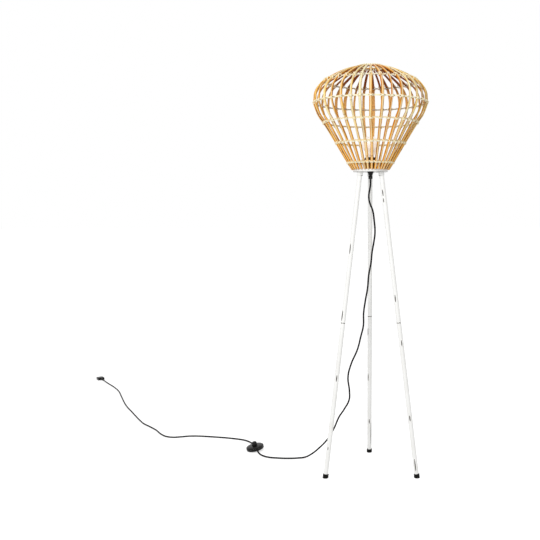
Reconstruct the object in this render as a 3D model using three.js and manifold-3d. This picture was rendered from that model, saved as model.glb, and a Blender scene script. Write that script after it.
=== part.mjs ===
// A rattan floor lamp: an open cage shade of bound canes on a white metal tripod,
// with a black cord, a round foot switch and a two-pin plug.
// Millimetres, +Z up. The origin is on the floor under the lamp's axis, and the front faces -Y.

import * as THREE from "three";
import { mergeVertices } from "three/addons/utils/BufferGeometryUtils.js";
import Module from "manifold-3d";

const wasm = await Module();
wasm.setup();

// Clearances and tool allowances
const seatGap = 0.3; // between pieces that touch, seat or turn in each other
const cutOverrun = 4; // how far a cutting tool runs past the face that it opens
const weldDistance = 0.001; // vertices nearer than this are one vertex

// Tripod
const plateHeight = 1068; // underside of the top plate's disc above the floor
const footCircleRadius = 185; // where the leg axes meet the floor
const legTopCircleRadius = 42; // where the leg axes meet the top plate
const legDiameter = 16;
const legWall = 2;
const lowerLegLength = 546; // from the floor along the leg to the joint of its two sections
const spigotLength = 40;
const spigotWall = 1.2;
const legSides = 16;
const legNames = ["back", "left", "right"];

// Rubber foot caps
const capDiameter = 20;
const capLength = 14;
const capFloor = 4;

// Top plate, a shallow dish with three leg sockets under it
const plateDiameter = 122;
const plateThickness = 3;
const plateRimDepth = 1.5; // how far the rim hangs under the disc
const plateRimWall = 2;
const plateEdgeChamfer = 1.2;
const socketWall = 1.6;
const socketLength = 14;
const socketRoot = 1.5; // how far a socket is let into the disc
const plateSides = 48;

// Lampholder, with the threaded nipple that clamps shade, plate and cord grip together
const nippleDiameter = 10;
const nippleReach = 8; // below the underside of the disc
const holderDiameter = 40;
const holderHeight = 43.5;
const holderChamfer = 3;
const holderMouthDiameter = 28.4;
const holderMouthDepth = 24;
const holderSides = 24;

// Bulb
const bulbCapDiameter = 26.4;
const bulbDiameter = 60;
const bulbCentreRise = 68; // centre of the globe above the bottom of the screw cap
const bulbCapLength = 26;
const bulbNeckAngle = -48; // degrees round the globe at which the neck runs into it
const bulbSides = 20;

// Cord grip under the plate
const gripConeTopDiameter = 22;
const gripConeTipDiameter = 9.6;
const gripConeHeight = 15.4;
const gripNutDiameter = 14.5;
const gripNutHeight = 10;
const gripNutChamfer = 1.5;
const gripSides = 16;

// Shade carrier, a hub and three arms inside the bottom hoop
const hubDiameter = 50;
const hubThickness = 2;
const armInset = 3.5; // how far an arm's end is let into the hub
const armBendRadius = 44; // where an arm bends up
const armBendRise = 2;
const armKneeRadius = 60;
const armKneeRise = 12;
const armSides = 8;
const armSteps = 8;
const armCount = 3;

// Shade hoops, wires inside the canes: radius, and rise above the top of the plate
const wireDiameter = 3;
const wireSides = 6;
const carrierHoopRadius = 76.2;
const carrierHoopRise = 30;
const lowHoopRadius = 117;
const lowHoopRise = 97.3;
const middleHoopRadius = 160.7;
const middleHoopRise = 167.6;
const wideHoopRadius = 193.4;
const wideHoopRise = 234.5;
const shoulderHoopRadius = 158.3;
const shoulderHoopRise = 305.6;
const crownHoopRadius = 40;
const crownHoopRise = 353.4;

// Shade canes
const caneCount = 34;
const caneThickness = 6;
const caneWidth = 10;
const caneFootWidth = 9;
const caneTipWidth = 5.4;
const caneTailDraw = 15.8; // how far the lower ends run in from the bottom hoop
const caneTailDrop = 24.5; // and how far below it
const caneTipReach = 5.8; // how far the upper ends run in from the crown hoop
const caneTipRise = 1.5;
const flankBow = 5; // bulge between the middle hoop and the wide hoop
const shoulderBow = 11.5; // bulge between the wide hoop and the shoulder hoop
const crownBow = 6.6; // bulge between the shoulder hoop and the crown hoop
const frontCaneTurn = -1; // degrees that the front cane stands off the centre line
// Half-round section: across the width, and out from the flat inner face.
const caneSectionShares = [
  [-0.5, 0],
  [0.5, 0],
  [0.38, 0.72],
  [0, 1],
  [-0.38, 0.72],
];
// Where extra stations lie on the three bowed stretches.
const flankStationShares = [0.4, 0.75];
const shoulderStationShares = [0.33, 0.67];
const crownStationShares = [0.25, 0.58, 0.83];
// How much of its full width a cane has at each station, from its lower end up.
const fullWidthShares = [0, 0, 0.6, 1, 1, 1, 1, 1, 1, 1, 1, 0.8, 0.4, 0.08, 0];
// Canes differ in width, as cut. The front one is first, then counter-clockwise.
const caneWidthShares = [
  1, 0.95, 0.65, 1.1, 0.85, 1.1, 0.9, 1.15, 0.8, 1, 1.2, 0.85, 1, 1.1, 0.9, 1, 0.75,
  1.2, 0.95, 0.75, 1.3, 1.25, 0.9, 1.05, 0.85, 1.15, 0.95, 1.1, 0.8, 1.2, 0.8, 1, 0.8, 0.95,
];
// They are bound by eye, so each stands some degrees off its even share of the round.
const caneShifts = [
  0, 0.9, 0.4, 0.8, 0.4, 0.2, -0.1, -0.4, -0.7, -1, -1.3, -1.6, -1.8, -2.1, -2.8, -1.9, -3,
  -3.6, -2.8, -3.2, -2, -1.3, -0.3, 0.2, 0.3, 0.2, 0.1, -0.1, -0.2, -0.4, -0.2, 0.8, 1.2, 0,
];

// Cord
const cordDiameter = 6.2;
const cordSides = 8;
const cordToSwitchSteps = 38;
const cordToPlugSteps = 42;

// Foot switch
const switchPlace = [-444, 208];
const switchTurn = 110; // degrees from +X to the way that the cord runs through it
const switchTilt = 10.5; // degrees that the stiff cord tips it, so that it rests on its left edge
const switchDiameter = 68;
const switchBaseHeight = 8.2;
const switchChamfer = 1.2;
const switchStubDiameter = 8;
const switchStubLength = 8;
const switchStubRoot = 5; // how far a stub is let into the base
const switchPortHeight = 4.1;
const switchCoverHeight = 6.6;
const switchCoverWall = 2;
const switchSides = 40;
const coverArcSteps = 5;
const buttonDiameter = 20;
const buttonFlangeDiameter = 26;
const buttonFlangeThickness = 1.2;
const buttonTravel = 3;
const buttonStandOut = 13.5; // above the cover
const buttonChamfer = 1.4;
const buttonSides = 24;

// Plug
const plugPlace = [-1427, 1384];
const plugTurn = 125.5; // degrees from +X to the way that the pins point
const plugReliefLength = 24;
const plugReliefTipDiameter = 8;
const plugReliefRootDiameter = 11.5;
const plugBodyLength = 36;
const plugBodyWidth = 34;
const plugBodyHeight = 14;
const plugBodyTailWidth = 13;
const plugBodyEdge = 1.5;
const plugShoulderLength = 15;
const plugPinDiameter = 4;
const plugPinLength = 19;
const plugPinSpacing = 19;
const plugRoot = 4; // how far the relief and the pins are let into the body
const plugSides = 12;

// The cord's route over the floor, after its first point under the grip and before the switch.
const cordToSwitchRoute = [
  [0, 0, 1026],
  [-3, 0, 1004],
  [-6, 1, 983],
  [-3, 2, 961],
  [8, 4, 931],
  [13, 5, 897],
  [16, 7, 856],
  [12, 10, 820],
  [6, 12, 786],
  [2, 16, 746],
  [-6, 20, 701],
  [-10, 23, 655],
  [-18, 28, 608],
  [-24, 33, 564],
  [-25, 38, 516],
  [-34, 43, 477],
  [-46, 48, 429],
  [-70, 55, 371],
  [-81, 61, 324],
  [-76, 69, 268],
  [-77, 72, 236],
  [-96, 78, 197],
  [-114, 82, 169],
  [-136, 89, 118],
  [-160, 96, 77],
  [-191, 101, 43],
  [-223, 104, 17],
  [-244, 105, 7],
  [-265, 106, 3.8],
  [-307, 102, 3.5],
  [-347, 106, 3.5],
  [-383, 115, 3.7],
  [-408.5, 132, 5],
  [-423.5, 150, 8],
];
const cordToPlugRoute = [
  [-465.5, 266, 8.6],
  [-481.5, 301, 4.6],
  [-506, 326, 3.5],
  [-539, 341, 3.5],
  [-588, 357, 3.5],
  [-641, 369, 3.5],
  [-694, 379, 3.5],
  [-742, 379, 3.5],
  [-775, 369, 3.5],
  [-805, 365, 3.5],
  [-833, 376, 3.5],
  [-860, 405, 3.5],
  [-898, 465, 3.5],
  [-938, 515, 3.5],
  [-977, 561, 3.5],
  [-1008, 612, 3.5],
  [-1047, 682, 3.5],
  [-1088, 758, 3.5],
  [-1130, 835, 3.5],
  [-1172, 924, 3.5],
  [-1217, 1030, 3.5],
  [-1268, 1147, 3.5],
  [-1321, 1236, 3.5],
  [-1375, 1312, 4.3],
  [-1408, 1357, 6.4],
];

// Sizes that follow from the ones above
const legRadius = legDiameter / 2;
const legBore = legRadius - legWall;
const wireRadius = wireDiameter / 2;
const cordRadius = cordDiameter / 2;
const legLean = Math.atan2(footCircleRadius - legTopCircleRadius, plateHeight);
const legLength = Math.hypot(footCircleRadius - legTopCircleRadius, plateHeight);
const plateTop = plateHeight + plateThickness;
const nippleHoleRadius = nippleDiameter / 2 + seatGap;
const hubBottom = plateTop + seatGap;
const holderBottom = hubBottom + hubThickness + seatGap;
const nippleTip = plateHeight - nippleReach;
const gripConeTop = plateHeight - seatGap;
const gripConeTip = gripConeTop - gripConeHeight;
const gripNutTop = gripConeTip - seatGap;
const gripNutBottom = gripNutTop - gripNutHeight;
const bulbBottom = holderBottom + holderHeight - holderMouthDepth + seatGap;
const switchCoverBottom = switchBaseHeight + seatGap;
const switchCoverTop = switchCoverBottom + switchCoverHeight;
const buttonBottom = switchBaseHeight + seatGap + buttonTravel;
const plugAxisHeight = plugBodyHeight / 2;

const degrees = (angle) => (angle * Math.PI) / 180;
const switchLift = (switchDiameter / 2 - switchChamfer) * Math.sin(degrees(switchTilt));

// Geometry helpers

function revolve(profile, sides) {
  const points = profile.map(([radius, height]) => new THREE.Vector2(radius, height));
  const geometry = new THREE.LatheGeometry(points, sides);
  geometry.rotateX(Math.PI / 2);
  return geometry;
}

function revolveRing(profile, sides) {
  return revolve([...profile, profile[0]], sides);
}

function polygon(radius, sides) {
  const corners = Array.from({ length: sides }, (_, side) => {
    const angle = (2 * Math.PI * side) / sides;
    return new THREE.Vector2(radius * Math.cos(angle), radius * Math.sin(angle));
  });
  return new THREE.Shape(corners);
}

function tubeAlong(curve, radius, sides, steps) {
  return new THREE.ExtrudeGeometry(polygon(radius, sides), {
    extrudePath: curve,
    steps,
    bevelEnabled: false,
  });
}

function rod(radius, length, sides) {
  return new THREE.ExtrudeGeometry(polygon(radius, sides), {
    depth: length,
    bevelEnabled: false,
  });
}

function solidOf(geometry) {
  const bare = geometry.index ? geometry.toNonIndexed() : geometry.clone();
  bare.deleteAttribute("normal");
  bare.deleteAttribute("uv");
  const merged = mergeVertices(bare, weldDistance);
  return new wasm.Manifold(
    new wasm.Mesh({
      numProp: 3,
      vertProperties: merged.attributes.position.array,
      triVerts: new Uint32Array(merged.index.array),
    }),
  );
}

function geometryOf(solid) {
  const mesh = solid.getMesh();
  const geometry = new THREE.BufferGeometry();
  geometry.setAttribute("position", new THREE.BufferAttribute(mesh.vertProperties, 3));
  geometry.setIndex(new THREE.BufferAttribute(mesh.triVerts, 1));
  geometry.computeVertexNormals();
  return geometry;
}

function join(...geometries) {
  const [first, ...others] = geometries.map(solidOf);
  return geometryOf(others.reduce((sum, next) => sum.add(next), first));
}

function cut(geometry, ...tools) {
  return geometryOf(tools.reduce((sum, tool) => sum.subtract(solidOf(tool)), solidOf(geometry)));
}

const finishes = {
  cane: { color: 0xd9a566, roughness: 0.55, metalness: 0 },
  wire: { color: 0x6e6a63, roughness: 0.45, metalness: 0.7 },
  whiteMetal: { color: 0xf1efe9, roughness: 0.5, metalness: 0 },
  rubber: { color: 0x1a1a1a, roughness: 0.85, metalness: 0 },
  blackPlastic: { color: 0x141414, roughness: 0.4, metalness: 0 },
  cordPlastic: { color: 0x121212, roughness: 0.5, metalness: 0 },
  opalGlass: { color: 0xf6f3ea, roughness: 0.3, metalness: 0 },
};

function piece(name, finish, geometry) {
  const mesh = new THREE.Mesh(geometry, new THREE.MeshStandardMaterial(finishes[finish]));
  mesh.name = name;
  return mesh;
}

// Tripod: each leg is drawn upright on its own axis, then leaned in and turned to its place

function leaned(azimuth, ...pieces) {
  const lean = new THREE.Group();
  lean.position.x = footCircleRadius;
  lean.rotation.y = -legLean;
  lean.add(...pieces);
  const turn = new THREE.Group();
  turn.rotation.z = azimuth;
  turn.add(lean);
  return turn;
}

function upperLeg() {
  const bottom = lowerLegLength + seatGap;
  const top = legLength - seatGap;
  return revolveRing(
    [
      [legBore, bottom],
      [legRadius, bottom],
      [legRadius, top],
      [legBore, top],
    ],
    legSides,
  );
}

function lowerLeg() {
  const bottom = capFloor + seatGap;
  const spigotRadius = legBore - seatGap;
  const spigotTop = lowerLegLength + spigotLength;
  const spigotBore = spigotRadius - spigotWall;
  const spigotRoot = lowerLegLength - legDiameter;
  return revolveRing(
    [
      [legBore, bottom],
      [legRadius, bottom],
      [legRadius, lowerLegLength],
      [spigotRadius, lowerLegLength],
      [spigotRadius, spigotTop],
      [spigotBore, spigotTop],
      [spigotBore, spigotRoot],
      [legBore, spigotRoot],
    ],
    legSides,
  );
}

function footCap() {
  const block = rod(capDiameter / 2, capLength + capDiameter, legSides);
  block.translate(0, 0, -capDiameter);
  const bore = rod(legRadius + seatGap, capLength, legSides);
  bore.translate(0, 0, capFloor);
  const belowFloor = new THREE.BoxGeometry(2 * capDiameter, 2 * capDiameter, 2 * capDiameter);
  belowFloor.translate(0, 0, -capDiameter);
  belowFloor.rotateY(legLean);
  return cut(block, bore, belowFloor);
}

function legSolid(geometry, azimuth) {
  geometry.rotateY(-legLean);
  geometry.translate(footCircleRadius, 0, 0);
  geometry.rotateZ(azimuth);
  return geometry;
}

function legAzimuth(index) {
  return degrees(90) + (2 * Math.PI * index) / legNames.length;
}

function topPlate() {
  const outer = plateDiameter / 2;
  const rimInner = outer - plateRimWall;
  const rimBottom = plateHeight - plateRimDepth;
  const dish = revolveRing(
    [
      [nippleHoleRadius, plateHeight],
      [rimInner, plateHeight],
      [rimInner, rimBottom],
      [outer, rimBottom],
      [outer, plateTop - plateEdgeChamfer],
      [outer - plateEdgeChamfer, plateTop],
      [nippleHoleRadius, plateTop],
    ],
    plateSides,
  );
  const sleeves = [];
  const bores = [];
  const socketBottom = legLength - socketLength;
  for (const index of legNames.keys()) {
    const sleeve = rod(legRadius + seatGap + socketWall, socketLength + socketRoot, legSides);
    sleeve.translate(0, 0, socketBottom);
    sleeves.push(legSolid(sleeve, legAzimuth(index)));
    const bore = rod(legRadius + seatGap, socketLength + cutOverrun, legSides);
    bore.translate(0, 0, socketBottom - cutOverrun);
    bores.push(legSolid(bore, legAzimuth(index)));
  }
  return cut(join(dish, ...sleeves), ...bores);
}

function tripod() {
  const group = new THREE.Group();
  legNames.forEach((name, index) => {
    group.add(
      leaned(
        legAzimuth(index),
        piece(`leg_upper_${name}`, "whiteMetal", upperLeg()),
        piece(`leg_lower_${name}`, "whiteMetal", lowerLeg()),
        piece(`foot_cap_${name}`, "rubber", footCap()),
      ),
    );
  });
  group.add(piece("top_plate", "whiteMetal", topPlate()));
  return group;
}

// Lampholder, bulb and cord grip

function lampholder() {
  const radius = holderDiameter / 2;
  const top = holderBottom + holderHeight;
  const mouth = holderMouthDiameter / 2;
  return revolve(
    [
      [0, nippleTip],
      [nippleDiameter / 2, nippleTip],
      [nippleDiameter / 2, holderBottom],
      [radius - holderChamfer, holderBottom],
      [radius, holderBottom + holderChamfer],
      [radius, top - holderChamfer / 2],
      [radius - holderChamfer / 2, top],
      [mouth, top],
      [mouth, top - holderMouthDepth],
      [0, top - holderMouthDepth],
    ],
    holderSides,
  );
}

function bulb() {
  const globe = bulbDiameter / 2;
  const capRadius = bulbCapDiameter / 2;
  const capTop = bulbBottom + bulbCapLength;
  const centre = bulbBottom + bulbCentreRise;
  const neck = degrees(bulbNeckAngle);
  const outline = new THREE.Path();
  outline.moveTo(0, bulbBottom);
  outline.lineTo(capRadius, bulbBottom);
  outline.lineTo(capRadius, capTop);
  outline.quadraticCurveTo(
    capRadius,
    (capTop + centre + globe * Math.sin(neck)) / 2,
    globe * Math.cos(neck),
    centre + globe * Math.sin(neck),
  );
  outline.absarc(0, centre, globe, neck, Math.PI / 2, false);
  const profile = outline.getPoints(4).map((point) => [Math.max(point.x, 0), point.y]);
  profile[profile.length - 1][0] = 0;
  return revolve(profile, bulbSides);
}

function gripCone() {
  return revolve(
    [
      [0, gripConeTip],
      [gripConeTipDiameter / 2, gripConeTip],
      [gripConeTopDiameter / 2, gripConeTop],
      [nippleHoleRadius, gripConeTop],
      [nippleHoleRadius, nippleTip - seatGap],
      [0, nippleTip - seatGap],
    ],
    gripSides,
  );
}

function gripNut() {
  const radius = gripNutDiameter / 2;
  return revolve(
    [
      [0, gripNutBottom],
      [radius - gripNutChamfer, gripNutBottom],
      [radius, gripNutBottom + gripNutChamfer],
      [radius, gripNutTop - gripNutChamfer],
      [radius - gripNutChamfer, gripNutTop],
      [0, gripNutTop],
    ],
    gripSides,
  );
}

function fitting() {
  const group = new THREE.Group();
  group.add(
    piece("lampholder", "blackPlastic", lampholder()),
    piece("bulb", "opalGlass", bulb()),
    piece("cord_grip_cone", "blackPlastic", gripCone()),
    piece("cord_grip_nut", "blackPlastic", gripNut()),
  );
  return group;
}

// Shade: hoops of wire, and canes whose flat inner faces lie on them

const caneStep = (2 * Math.PI) / caneCount;

function caneAngle(index) {
  return degrees(frontCaneTurn - 90 + caneShifts[index % caneCount]) + caneStep * index;
}

function hoopPoint(radius, rise) {
  return new THREE.Vector2(radius, plateTop + rise);
}

const carrierHoop = hoopPoint(carrierHoopRadius, carrierHoopRise);
const lowHoop = hoopPoint(lowHoopRadius, lowHoopRise);
const middleHoop = hoopPoint(middleHoopRadius, middleHoopRise);
const wideHoop = hoopPoint(wideHoopRadius, wideHoopRise);
const shoulderHoop = hoopPoint(shoulderHoopRadius, shoulderHoopRise);
const crownHoop = hoopPoint(crownHoopRadius, crownHoopRise);

function bowedPoint(start, end, share, bow) {
  const along = end.clone().sub(start);
  const outward = new THREE.Vector2(along.y, -along.x).normalize();
  return start
    .clone()
    .addScaledVector(along, share)
    .addScaledVector(outward, 4 * bow * share * (1 - share));
}

// The line through the hoops' wire centres that every cane follows, as radius and height.
function shadeLine() {
  const tail = new THREE.Vector2(-caneTailDraw, -caneTailDrop).add(carrierHoop);
  const tip = new THREE.Vector2(-caneTipReach, caneTipRise).add(crownHoop);
  const flank = flankStationShares.map((share) =>
    bowedPoint(middleHoop, wideHoop, share, flankBow),
  );
  const shoulder = shoulderStationShares.map((share) =>
    bowedPoint(wideHoop, shoulderHoop, share, shoulderBow),
  );
  const crown = crownStationShares.map((share) =>
    bowedPoint(shoulderHoop, crownHoop, share, crownBow),
  );
  return [
    tail,
    carrierHoop,
    lowHoop,
    middleHoop,
    ...flank,
    wideHoop,
    ...shoulder,
    shoulderHoop,
    ...crown,
    crownHoop,
    tip,
  ];
}

// Outward directions at the line's points, lengthened at a bend so that an offset stays parallel.
function outwardAt(line, index) {
  const before = line[Math.max(index - 1, 0)];
  const here = line[index];
  const after = line[Math.min(index + 1, line.length - 1)];
  const first = (index > 0 ? here.clone().sub(before) : after.clone().sub(here)).normalize();
  const second = (after === here ? first.clone() : after.clone().sub(here)).normalize();
  const middle = first.clone().add(second).normalize();
  return new THREE.Vector2(middle.y, -middle.x).divideScalar(middle.dot(first));
}

function cane(widthShare) {
  const line = shadeLine();
  const outward = line.map((_, index) => outwardAt(line, index));
  const endWidths = line.map((_, index) => (index < line.length / 2 ? caneFootWidth : caneTipWidth));
  const section = new THREE.Shape(caneSectionShares.map(([u, v]) => new THREE.Vector2(u, v)));
  const geometry = new THREE.ExtrudeGeometry(section, {
    depth: 1,
    steps: line.length - 1,
    bevelEnabled: false,
  });
  const position = geometry.getAttribute("position");
  for (let vertex = 0; vertex < position.count; vertex += 1) {
    const index = Math.round(position.getZ(vertex) * (line.length - 1));
    const fullWidth = caneWidth * widthShare;
    const width = endWidths[index] + (fullWidth - endWidths[index]) * fullWidthShares[index];
    const offset = wireRadius + seatGap + caneThickness * position.getY(vertex);
    const place = line[index].clone().addScaledVector(outward[index], offset);
    position.setXYZ(vertex, place.x, -width * position.getX(vertex), place.y);
  }
  geometry.computeVertexNormals();
  return geometry;
}

// A hoop has a corner under each cane, where the cane's flat face lies on it.
function hoop(place) {
  const ring = new THREE.TorusGeometry(place.x, wireRadius, wireSides, caneCount);
  const position = ring.getAttribute("position");
  const corner = new THREE.Vector3();
  const axis = new THREE.Vector3(0, 0, 1);
  for (let vertex = 0; vertex < position.count; vertex += 1) {
    const index = vertex % (caneCount + 1);
    corner.fromBufferAttribute(position, vertex);
    corner.applyAxisAngle(axis, caneAngle(index) - caneStep * index);
    position.setXYZ(vertex, corner.x, corner.y, corner.z + place.y);
  }
  return ring;
}

function shadeCarrier() {
  const hubRadius = hubDiameter / 2;
  const hub = revolveRing(
    [
      [nippleHoleRadius, hubBottom],
      [hubRadius, hubBottom],
      [hubRadius, hubBottom + hubThickness],
      [nippleHoleRadius, hubBottom + hubThickness],
    ],
    holderSides,
  );
  const armLevel = hubBottom + wireRadius;
  const armLine = new THREE.CatmullRomCurve3([
    new THREE.Vector3(hubRadius - armInset, 0, armLevel),
    new THREE.Vector3(armBendRadius, 0, armLevel + armBendRise),
    new THREE.Vector3(armKneeRadius, 0, armLevel + armKneeRise),
    new THREE.Vector3(carrierHoop.x, 0, carrierHoop.y),
  ]);
  const arms = Array.from({ length: armCount }, (_, index) => {
    const arm = tubeAlong(armLine, wireRadius, armSides, armSteps);
    return arm.rotateZ((2 * Math.PI * (index + 0.5)) / armCount);
  });
  return join(hub, ...arms, hoop(carrierHoop));
}

function shade() {
  const group = new THREE.Group();
  group.add(piece("shade_carrier", "wire", shadeCarrier()));
  const hoops = {
    hoop_low: lowHoop,
    hoop_middle: middleHoop,
    hoop_wide: wideHoop,
    hoop_shoulder: shoulderHoop,
    hoop_crown: crownHoop,
  };
  for (const [name, place] of Object.entries(hoops)) {
    group.add(piece(name, "wire", hoop(place)));
  }
  for (let index = 0; index < caneCount; index += 1) {
    const number = String(index + 1).padStart(2, "0");
    const mesh = piece(`cane_${number}`, "cane", cane(caneWidthShares[index]));
    mesh.rotation.z = caneAngle(index);
    group.add(mesh);
  }
  return group;
}

// Foot switch, drawn with the cord running along X

function switchBase() {
  const radius = switchDiameter / 2;
  const body = revolve(
    [
      [0, 0],
      [radius - switchChamfer, 0],
      [radius, switchChamfer],
      [radius, switchBaseHeight],
      [0, switchBaseHeight],
    ],
    switchSides,
  );
  const reach = radius + switchStubLength;
  const stubs = [0, Math.PI].map((turn) => {
    const stub = rod(switchStubDiameter / 2, switchStubLength + switchStubRoot, plugSides);
    stub.rotateY(Math.PI / 2);
    stub.translate(reach - switchStubLength - switchStubRoot, 0, switchPortHeight);
    return stub.rotateZ(turn);
  });
  return join(body, ...stubs);
}

function switchCover() {
  const radius = switchDiameter / 2;
  const hole = buttonDiameter / 2 + seatGap;
  const skirt = switchCoverHeight / 4;
  const crown = switchCoverHeight - skirt;
  const wall = switchCoverWall;
  const outer = [];
  const inner = [];
  for (let step = 0; step <= coverArcSteps; step += 1) {
    const share = step / coverArcSteps;
    const across = radius - (radius - hole) * share;
    const rise = crown * Math.sqrt(1 - (1 - share) ** 2);
    outer.push([across, switchCoverBottom + skirt + rise]);
    const innerAcross = radius - wall - (radius - wall - hole) * share;
    const innerCrown = Math.max(crown - wall, 0);
    const innerRise = innerCrown * Math.sqrt(1 - (1 - share) ** 2);
    inner.unshift([innerAcross, switchCoverBottom + skirt + innerRise]);
  }
  return revolveRing(
    [
      [radius - wall, switchCoverBottom],
      [radius, switchCoverBottom],
      ...outer,
      ...inner,
    ],
    switchSides,
  );
}

function switchButton() {
  const radius = buttonDiameter / 2;
  const top = switchCoverTop + buttonStandOut;
  return revolve(
    [
      [0, buttonBottom],
      [buttonFlangeDiameter / 2, buttonBottom],
      [buttonFlangeDiameter / 2, buttonBottom + buttonFlangeThickness],
      [radius, buttonBottom + buttonFlangeThickness],
      [radius, top - buttonChamfer],
      [radius - buttonChamfer, top],
      [0, top],
    ],
    buttonSides,
  );
}

function footSwitch() {
  const tipped = new THREE.Group();
  tipped.position.z = switchLift;
  tipped.rotation.x = -degrees(switchTilt);
  tipped.add(
    piece("switch_base", "blackPlastic", switchBase()),
    piece("switch_cover", "blackPlastic", switchCover()),
    piece("switch_button", "blackPlastic", switchButton()),
  );
  const group = new THREE.Group();
  group.position.set(...switchPlace, 0);
  group.rotation.z = degrees(switchTurn);
  group.add(tipped);
  return group;
}

// A point on the cord's line through the switch, this far from its centre.
function switchPort(reach) {
  const point = new THREE.Vector3(reach, 0, switchPortHeight);
  point.applyAxisAngle(new THREE.Vector3(1, 0, 0), -degrees(switchTilt));
  point.z += switchLift;
  point.applyAxisAngle(new THREE.Vector3(0, 0, 1), degrees(switchTurn));
  point.x += switchPlace[0];
  point.y += switchPlace[1];
  return point.toArray();
}

// Plug, drawn with its pins along +X and the cord's end at x = 0

function plugOutline() {
  const tail = plugBodyTailWidth / 2 - plugBodyEdge;
  const side = plugBodyWidth / 2 - plugBodyEdge;
  const back = plugReliefLength + plugBodyEdge;
  const front = plugReliefLength + plugBodyLength - plugBodyEdge;
  const shoulder = plugReliefLength + plugShoulderLength;
  const outline = new THREE.Shape();
  outline.moveTo(back, -tail);
  outline.lineTo(shoulder, -side);
  outline.lineTo(front, -side);
  outline.lineTo(front, side);
  outline.lineTo(shoulder, side);
  outline.lineTo(back, tail);
  outline.closePath();
  return outline;
}

function plug() {
  const body = new THREE.ExtrudeGeometry(plugOutline(), {
    depth: plugBodyHeight - 2 * plugBodyEdge,
    bevelThickness: plugBodyEdge,
    bevelSize: plugBodyEdge,
    bevelSegments: 2,
  });
  body.translate(0, 0, plugBodyEdge);
  const relief = revolve(
    [
      [0, 0],
      [plugReliefTipDiameter / 2, 0],
      [plugReliefRootDiameter / 2, plugReliefLength + plugRoot],
      [0, plugReliefLength + plugRoot],
    ],
    plugSides,
  );
  relief.rotateY(Math.PI / 2);
  relief.translate(0, 0, plugAxisHeight);
  const pins = [-1, 1].map((side) => {
    const pin = rod(plugPinDiameter / 2, plugPinLength + plugRoot, plugSides);
    pin.rotateY(Math.PI / 2);
    const start = plugReliefLength + plugBodyLength - plugRoot;
    return pin.translate(start, (side * plugPinSpacing) / 2, plugAxisHeight);
  });
  return join(body, relief, ...pins);
}

function placedPlug() {
  const group = new THREE.Group();
  group.position.set(...plugPlace, 0);
  group.rotation.z = degrees(plugTurn);
  group.add(piece("plug", "blackPlastic", plug()));
  return group;
}

// Cord: its ends lie a seat gap off the faces that they meet, and leave them square

// A point on the line of the plug's relief, this far behind its tip.
function plugEntry(reach) {
  const along = new THREE.Vector2(Math.cos(degrees(plugTurn)), Math.sin(degrees(plugTurn)));
  return [plugPlace[0] - along.x * reach, plugPlace[1] - along.y * reach, plugAxisHeight];
}

function cord(name, points, steps) {
  const curve = new THREE.CatmullRomCurve3(
    points.map((point) => new THREE.Vector3(...point)),
    false,
    "centripetal",
  );
  return piece(name, "cordPlastic", tubeAlong(curve, cordRadius, cordSides, steps));
}

function cords() {
  const portReach = switchDiameter / 2 + switchStubLength + seatGap;
  const leadIn = cordDiameter;
  const group = new THREE.Group();
  const toSwitch = [
    [0, 0, gripNutBottom - seatGap],
    ...cordToSwitchRoute,
    switchPort(-portReach - leadIn),
    switchPort(-portReach),
  ];
  const toPlug = [
    switchPort(portReach),
    switchPort(portReach + leadIn),
    ...cordToPlugRoute,
    plugEntry(seatGap + leadIn),
    plugEntry(seatGap),
  ];
  group.add(
    cord("cord_to_switch", toSwitch, cordToSwitchSteps),
    cord("cord_to_plug", toPlug, cordToPlugSteps),
  );
  return group;
}

const lamp = new THREE.Group();
lamp.add(tripod(), fitting(), shade(), footSwitch(), placedPlug(), cords());

export default lamp;
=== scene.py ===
# %% [markdown]
# # A rattan floor lamp
# This lesson dresses the measured frame of a floor lamp. The frame gives every piece its place.
# The pieces that show are modelled again here with finer shapes and get finishes.

# %% Load the measured frame
import math
import random
from contextlib import contextmanager

import bmesh
import bpy
from mathutils import Matrix, Vector


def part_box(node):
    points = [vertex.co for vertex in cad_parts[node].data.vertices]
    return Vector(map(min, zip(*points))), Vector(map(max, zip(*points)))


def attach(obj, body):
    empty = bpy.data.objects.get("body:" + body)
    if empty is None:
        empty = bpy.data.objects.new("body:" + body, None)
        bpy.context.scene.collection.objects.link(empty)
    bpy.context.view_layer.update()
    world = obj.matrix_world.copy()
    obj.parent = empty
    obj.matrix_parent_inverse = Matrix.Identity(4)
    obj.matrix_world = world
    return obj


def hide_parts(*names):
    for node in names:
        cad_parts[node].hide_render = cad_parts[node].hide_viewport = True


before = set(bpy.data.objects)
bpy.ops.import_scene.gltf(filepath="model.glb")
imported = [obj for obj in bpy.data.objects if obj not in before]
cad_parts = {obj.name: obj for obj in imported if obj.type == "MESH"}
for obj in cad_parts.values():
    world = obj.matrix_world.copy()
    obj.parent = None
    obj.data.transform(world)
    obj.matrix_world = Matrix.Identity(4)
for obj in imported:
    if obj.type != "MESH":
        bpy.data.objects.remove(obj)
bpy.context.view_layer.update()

bpy.ops.object.select_all(action="DESELECT")

# %% [markdown]
# ## The camera
# The lamp stands right of the middle, and yet its two front feet are level, so the lens looked
# straight at it and the picture's frame was moved. A turned camera would set one foot higher.
# Lens shift moves the frame and leaves the camera straight. A small dip takes in the floor.

# %% Stand the camera where the picture was taken
PICTURE_SIDE = 540.0
SENSOR_WIDTH = 36.0
FOCAL_PIXELS = 751.17
CAMERA_PLACE = Vector((-0.0665, -2.6532, 0.9455))
CAMERA_DIP = 0.0840
CAMERA_ROLL = -0.0021
LENS_SHIFT = -0.1514

scene = bpy.context.scene


def linked(name, data):
    """A new object of the scene, with this data."""
    piece = bpy.data.objects.new(name, data)
    scene.collection.objects.link(piece)
    return piece


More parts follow.
